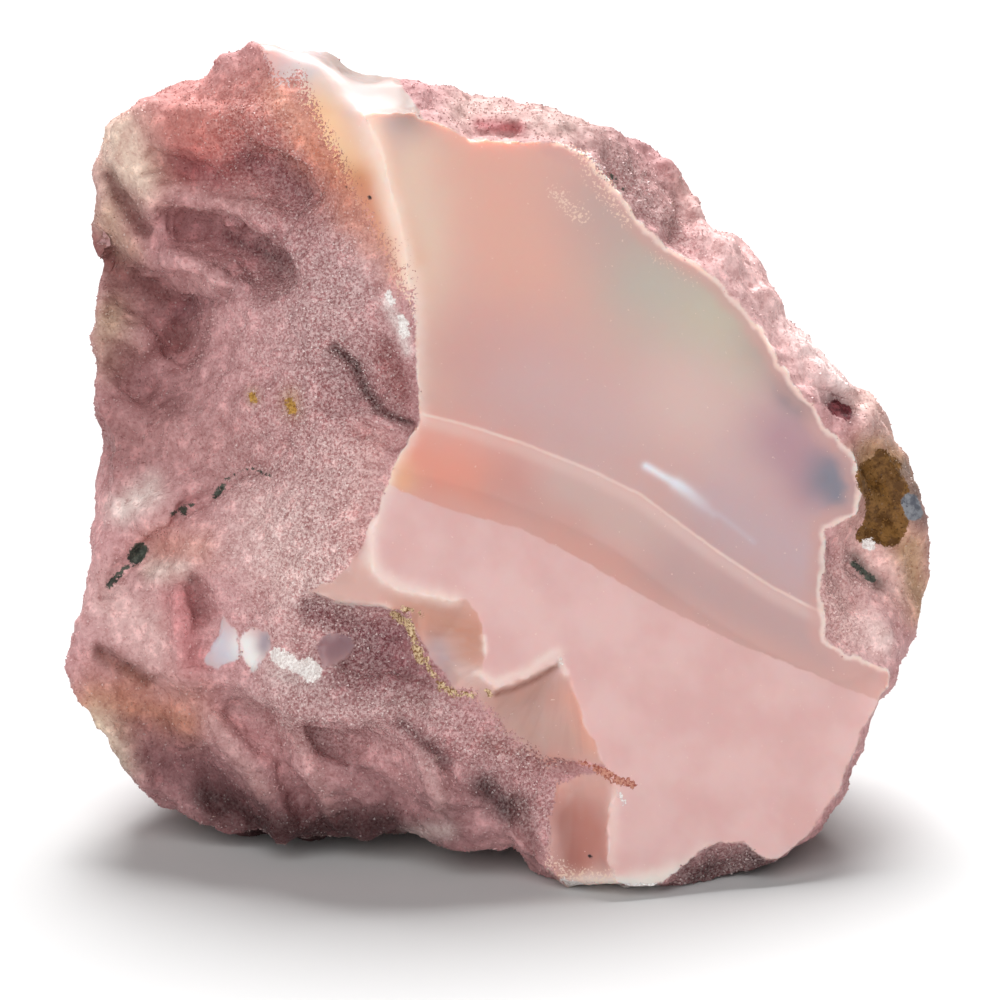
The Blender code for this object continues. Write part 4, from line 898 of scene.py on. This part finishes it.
def stoneMaterial():
    sheet = Sheet("milkyOpalAndSugaryRock")
    place = sheet.millimetres()
    wobble = sheet.noise(place, 1.7, 3.0) - 0.5
    fine = sheet.noise(place, 6.0, 3.0, 0.6) - 0.5

    # clear opal above, opaque pink below a crisp line
    cloud = sheet.noise(place, 0.3, 3.0)
    pinkGap = sheet.field("pinkGap") + 0.25 * wobble
    pink = sheet.mix(sheet.step(cloud, 0.35, 0.65), opalFinish["pink"], opalFinish["pinkDeep"])
    faceGap = sheet.field("faceGap")
    clear = sheet.field("opalTone", "Color")
    warm = sheet.mix(sheet.step(pinkGap, -1.6, 0.0) * 0.3, clear, opalFinish["edgePink"])
    warmFace = sheet.mix(sheet.step(faceGap, 0.0, 0.2), clear, warm)
    inPink = sheet.step(pinkGap, -0.05, 0.07) * sheet.step(faceGap, -0.05, 0.1)
    opal = sheet.mix(inPink, warmFace, pink)
    crestGap = sheet.field("crestGap") + 0.12 * wobble
    crestLine = (1.0 - sheet.step(abs(crestGap), 0.02, 0.12)) * (0.3 + sheet.noise(place, 0.8, 2.0) * 0.6)
    crestGlow = (1.0 - sheet.step(abs(crestGap + 0.35), 0.05, 0.55)) * 0.35
    opal = sheet.mix((crestLine + crestGlow) * sheet.step(faceGap, 0.0, 0.3), opal, opalFinish["crest"])
    rindGap = sheet.field("rindGap") + 0.2 * wobble
    opal = sheet.mix((1.0 - sheet.step(rindGap, 0.4, 1.1)) * 0.65, opal, opalFinish["rindPink"])
    opal = sheet.mix((1.0 - sheet.step(rindGap, 0.1, 0.36)) * 0.85, opal, opalFinish["rind"])
    # painted shade in the chips' flute grooves and painted light on their ridges
    flute = sheet.step(sheet.field("flute") + 0.3 * wobble, -0.5, 0.6)
    onChip = sheet.step(abs(sheet.field("flute")), 0.0, 0.1)
    opal = sheet.mix(onChip * 0.18, opal, sheet.mix(flute, opalFinish["fluteGrooveShade"], opalFinish["fluteRidgeLight"]))
    paleEdge = sheet.field("pale")
    opal = sheet.mix(paleEdge + 0.3 * wobble * paleEdge, opal, opalFinish["rim"])
    motes = sheet.noise(place, 5.5, 1.0)
    opal = sheet.mix(sheet.step(motes, 0.75, 0.8) * 0.5, opal, opalFinish["mote"])
    dust = sheet.field("dust")
    strewnDust = sheet.step(sheet.noise(place, 8.0, 2.0) + 0.2 * dust, 0.68, 0.76)
    opal = sheet.mix(strewnDust * sheet.step(dust, 0.05, 0.5) * 0.65, opal, opalFinish["dust"])
    ripple = sheet.noise(place, 0.9, 2.0) + 0.15 * fine
    opalBump = sheet.node("ShaderNodeBump", {}, {"Height": ripple, "Strength": 0.15, "Distance": 0.0001})
    opalShader = sheet.node(
        "ShaderNodeBsdfPrincipled",
        {"subsurface_method": "RANDOM_WALK"},
        {
            "Base Color": opal,
            "Roughness": opalFinish["roughness"],
            "Subsurface Weight": 1.0,
            "Subsurface Radius": opalFinish["scatterTint"],
            "Subsurface Scale": opalFinish["scatter"],
            "Coat Weight": opalFinish["coat"],
            "Coat Roughness": opalFinish["coatRoughness"],
            "Specular IOR Level": opalFinish["shine"],
            "Normal": opalBump,
        },
    )

    # rock: salt and pepper grains over its colours, painted shade among them
    rock = sheet.field("rockTone", "Color")
    sugary = sheet.field("sugary")
    mottle = sheet.noise(place, 1.3, 4.0, 0.6)
    mottled = sheet.mix(1.0, rock, rockFinish["mottle"], "MULTIPLY")
    rock = sheet.mix(sheet.step(mottle, 0.55, 0.3) * 0.4, rock, mottled)
    rock = sheet.mix(sheet.step(mottle, 0.5, 0.7) * 0.4, rock, sheet.mix(1.0, rock, rock, "ADD"))
    clump = sheet.noise(place, 3.2, 2.0, 0.6)
    clumped = sheet.mix(1.0, rock, rockFinish["clump"], "MULTIPLY")
    rock = sheet.mix(sheet.step(clump, 0.48, 0.3) * 0.4, rock, clumped)
    grain = sheet.noise(place, rockFinish["grainScale"], 3.0, 0.7)
    darker = sheet.mix(sugary * 0.9, rock, sheet.mix(1.0, rock, rockFinish["darkGrain"], "MULTIPLY"))
    lighter = sheet.mix(sugary * 0.3, rock, rockFinish["speck"])
    rock = sheet.mix(sheet.step(grain, 0.36, 0.64), darker, lighter)
    bare = 1.0
    # each crusted patch, and the painted shade in the hole, laid over the rock
    for name, (dark, pale, ragged, _) in paint["crustsAndHoleShade"].items():
        crustOrHoleShade = sheet.step(sheet.field(name) + ragged * fine + 0.5 * ragged * wobble, -0.03, 0.05)
        pattern = sheet.step(grain if ragged > 0.5 else mottle + 0.4 * fine, 0.38, 0.62)
        rock = sheet.mix(crustOrHoleShade, rock, sheet.mix(pattern, dark, pale))
        bare = bare * (1.0 - crustOrHoleShade)
    sockets = {"Height": grain, "Strength": rockFinish["bump"], "Distance": 0.00012}
    rockBump = sheet.node("ShaderNodeBump", {}, sockets)
    rockShader = sheet.node(
        "ShaderNodeBsdfPrincipled",
        {},
        {
            "Base Color": rock,
            "Roughness": rockFinish["roughness"],
            "Specular IOR Level": rockFinish["shine"],
            "Normal": rockBump,
        },
    )
    pepper = sheet.noise(place, 8.0, 2.0, 0.6) - 0.5
    opalGap = sheet.field("opalGap") + 0.22 * fine + 0.2 * wobble + 3.6 * pepper * sheet.field("speckled")
    isOpal = sheet.step(opalGap, -0.08, 0.06) * bare
    return sheet.finish(sheet.node("ShaderNodeMixShader", {}, {0: isOpal, 1: rockShader, 2: opalShader}))


# Sugar grains
grains = {
    "sugarFront": {"mask": "sugar", "perSquareMillimetre": 46.0, "size": 0.066, "seed": 4},
    "sugarBack": {"mask": "sugarBack", "perSquareMillimetre": 9.0, "size": 0.09, "seed": 9},
}

# A grain's look, how much its size varies, how high its crystal is and how deep that sits in the rock
grainLook = {
    "dark": "8a5656",
    "roughness": 0.4,
    "shine": 0.45,
    "least": 0.6,
    "most": 1.35,
    "height": 1.5,
    "sunk": 0.55,
}


def grainMaterial():
    sheet = Sheet("sugarGrain")
    rock = sheet.field("rockTone", "Color")
    chance = sheet.field("grainTone")
    sugary = sheet.field("sugary")
    pale = sheet.mix(sheet.step(chance, 0.4, 1.0) * (0.15 + 0.55 * sugary), rock, rockFinish["speck"])
    shade = sheet.mix(sheet.step(chance, 0.45, 0.1) * 0.6 * sugary, pale, grainLook["dark"])
    # grains in a crusted patch, or in the hole's painted shade, take its shades
    for name, (dark, light, _, _) in paint["crustsAndHoleShade"].items():
        crustOrHoleShade = sheet.step(sheet.field(name), -0.06, 0.03)
        shade = sheet.mix(crustOrHoleShade, shade, sheet.mix(sheet.step(chance, 0.2, 0.8), dark, light))
    sockets = {"Base Color": shade, "Roughness": grainLook["roughness"]}
    sockets["Specular IOR Level"] = grainLook["shine"]
    return sheet.finish(sheet.node("ShaderNodeBsdfPrincipled", {}, sockets))


def grainTree(material):
    tree = bpy.data.node_groups.new("sugarGrains", "GeometryNodeTree")
    socket = tree.interface.new_socket
    socket("Stone", in_out="INPUT", socket_type="NodeSocketGeometry")
    inputs = {}
    for name, kind in (("Mask", "String"), ("Density", "Float"), ("Size", "Float"), ("Seed", "Int")):
        inputs[name] = socket(name, in_out="INPUT", socket_type="NodeSocket" + kind).identifier
    socket("Grains", in_out="OUTPUT", socket_type="NodeSocketGeometry")

    def add(kind, settings=None, sockets=None):
        made = tree.nodes.new(kind)
        for key, value in (settings or {}).items():
            setattr(made, key, value)
        for key, value in (sockets or {}).items():
            if isinstance(value, bpy.types.NodeSocket):
                tree.links.new(value, made.inputs[key])
            else:
                made.inputs[key].default_value = value
        return made

    given = add("NodeGroupInput").outputs
    mask = add("GeometryNodeInputNamedAttribute", {"data_type": "FLOAT"}, {"Name": given["Mask"]})
    times = {"operation": "MULTIPLY"}
    thick = add("ShaderNodeMath", times, {0: mask.outputs["Attribute"], 1: given["Density"]})
    sockets = {"Mesh": given["Stone"], "Density": thick.outputs[0], "Seed": given["Seed"]}
    scattered = add("GeometryNodeDistributePointsOnFaces", {"distribute_method": "RANDOM"}, sockets)
    sockets = {"Vertices": 3, "Radius Top": 0.0, "Radius Bottom": 1.0, "Depth": grainLook["height"]}
    crystal = add("GeometryNodeMeshCone", {"fill_type": "NGON"}, sockets)
    sockets = {"Geometry": crystal.outputs["Mesh"], "Translation": (0.0, 0.0, -grainLook["sunk"])}
    centred = add("GeometryNodeTransform", {}, sockets)
    fullTurn = 6.283
    turn = add("FunctionNodeRandomValue", {"data_type": "FLOAT_VECTOR"}, {"Max": [fullTurn] * 3, "Seed": 1})
    sockets = {2: grainLook["least"], 3: grainLook["most"], "Seed": 2}
    swell = add("FunctionNodeRandomValue", {"data_type": "FLOAT"}, sockets)
    size = add("ShaderNodeMath", times, {0: swell.outputs[1], 1: given["Size"]})
    placed = add("GeometryNodeInstanceOnPoints", {}, {
        "Points": scattered.outputs["Points"], "Instance": centred.outputs["Geometry"],
        "Rotation": turn.outputs[0], "Scale": size.outputs[0]})
    chance = add("FunctionNodeRandomValue", {"data_type": "FLOAT"}, {2: 0.0, 3: 1.0, "Seed": 3})
    sockets = {"Geometry": placed.outputs["Instances"], "Name": "grainTone", "Value": chance.outputs[1]}
    toned = add("GeometryNodeStoreNamedAttribute", {"data_type": "FLOAT", "domain": "INSTANCE"}, sockets)
    solid = add("GeometryNodeRealizeInstances", {}, {"Geometry": toned.outputs["Geometry"]})
    sockets = {"Geometry": solid.outputs["Geometry"], "Material": material}
    dressed = add("GeometryNodeSetMaterial", {}, sockets)
    add("NodeGroupOutput", {}, {"Grains": dressed.outputs["Geometry"]})
    return tree, inputs


def sprinkle(name, source, tree, inputs):
    choice = grains[name]
    obj = linked(bpy.data.objects.new(name, source.copy()))
    layer = obj.modifiers.new("grains", "NODES")
    layer.node_group = tree
    layer[inputs["Mask"]] = choice["mask"]
    layer[inputs["Density"]] = choice["perSquareMillimetre"] / mm**2
    layer[inputs["Size"]] = choice["size"] * mm
    layer[inputs["Seed"]] = choice["seed"]
    mesh = baked(obj)
    mesh.shade_flat()
    print(name, len(mesh.polygons), "faces")
    return obj


# Making
opal = denseStone()
print("dense stone", len(opal.data.polygons), "faces")
calmChamfer(opal)
shapeStone(opal)
print("shaped")
thinBack(opal)
print("thinned to", len(opal.data.polygons), "faces")
paintStone(opal.data)
opal.data.materials.clear()
opal.data.materials.append(stoneMaterial())
opal.data.shade_smooth()
opal.data.set_sharp_from_angle(angle=stone["sharpAngle"])
print("painted")

tree, inputs = grainTree(grainMaterial())
pieces = [opal] + [sprinkle(name, opal.data, tree, inputs) for name in grains]
for piece in pieces:
    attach(piece, "root")
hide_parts("rough_opal")

# Floor, light and camera
studio = {
    "floorSide": 6.0,
    "sky": 0.08,
    "floorShade": 0.62,
    # energy, spread, and how the light leans: 0 points straight down
    "backLight": (5.4, math.radians(40.0), (math.radians(-30.0), 0.0, 0.0)),
    "frontLight": (1.97, math.radians(55.0), (math.radians(55.0), 0.0, math.radians(-12.0))),
}


def floorMaterial():
    sheet = Sheet("paleTable")
    sockets = {"Base Color": (*[studio["floorShade"]] * 3, 1.0), "Roughness": 0.9, "Specular IOR Level": 0.1}
    return sheet.finish(sheet.node("ShaderNodeBsdfPrincipled", {}, sockets))


ground = bmesh.new()
bmesh.ops.create_grid(ground, x_segments=1, y_segments=1, size=studio["floorSide"] / 2.0)
floorMesh = bpy.data.meshes.new("paleTable")
ground.to_mesh(floorMesh)
ground.free()
floor = linked(bpy.data.objects.new("paleTable", floorMesh))
floorMesh.materials.append(floorMaterial())

world = bpy.data.worlds.new("paleRoom")
world.use_nodes = True
world.node_tree.nodes["Background"].inputs["Color"].default_value = (1.0, 1.0, 1.0, 1.0)
world.node_tree.nodes["Background"].inputs["Strength"].default_value = studio["sky"]
bpy.context.scene.world = world

for name in ("backLight", "frontLight"):
    sun = bpy.data.lights.new(name, "SUN")
    sun.energy, sun.angle, turn = studio[name]
    linked(bpy.data.objects.new(name, sun)).rotation_euler = turn

upward = Vector((0.0, math.sin(look["tilt"]), math.cos(look["tilt"])))
inward = Vector((0.0, math.cos(look["tilt"]), -math.sin(look["tilt"])))
camera = linked(bpy.data.objects.new("camera", bpy.data.cameras.new("camera")))
camera.location = (upward * look["middle"] - inward * look["distance"] - Vector(look["footShift"])) * mm
camera.rotation_euler = inward.to_track_quat("-Z", "Y").to_euler()
camera.data.lens = look["lens"]
camera.data.sensor_width = 36.0
camera.data.clip_start = 0.01
bpy.context.scene.camera = camera
bpy.context.scene.view_settings.view_transform = "Standard"
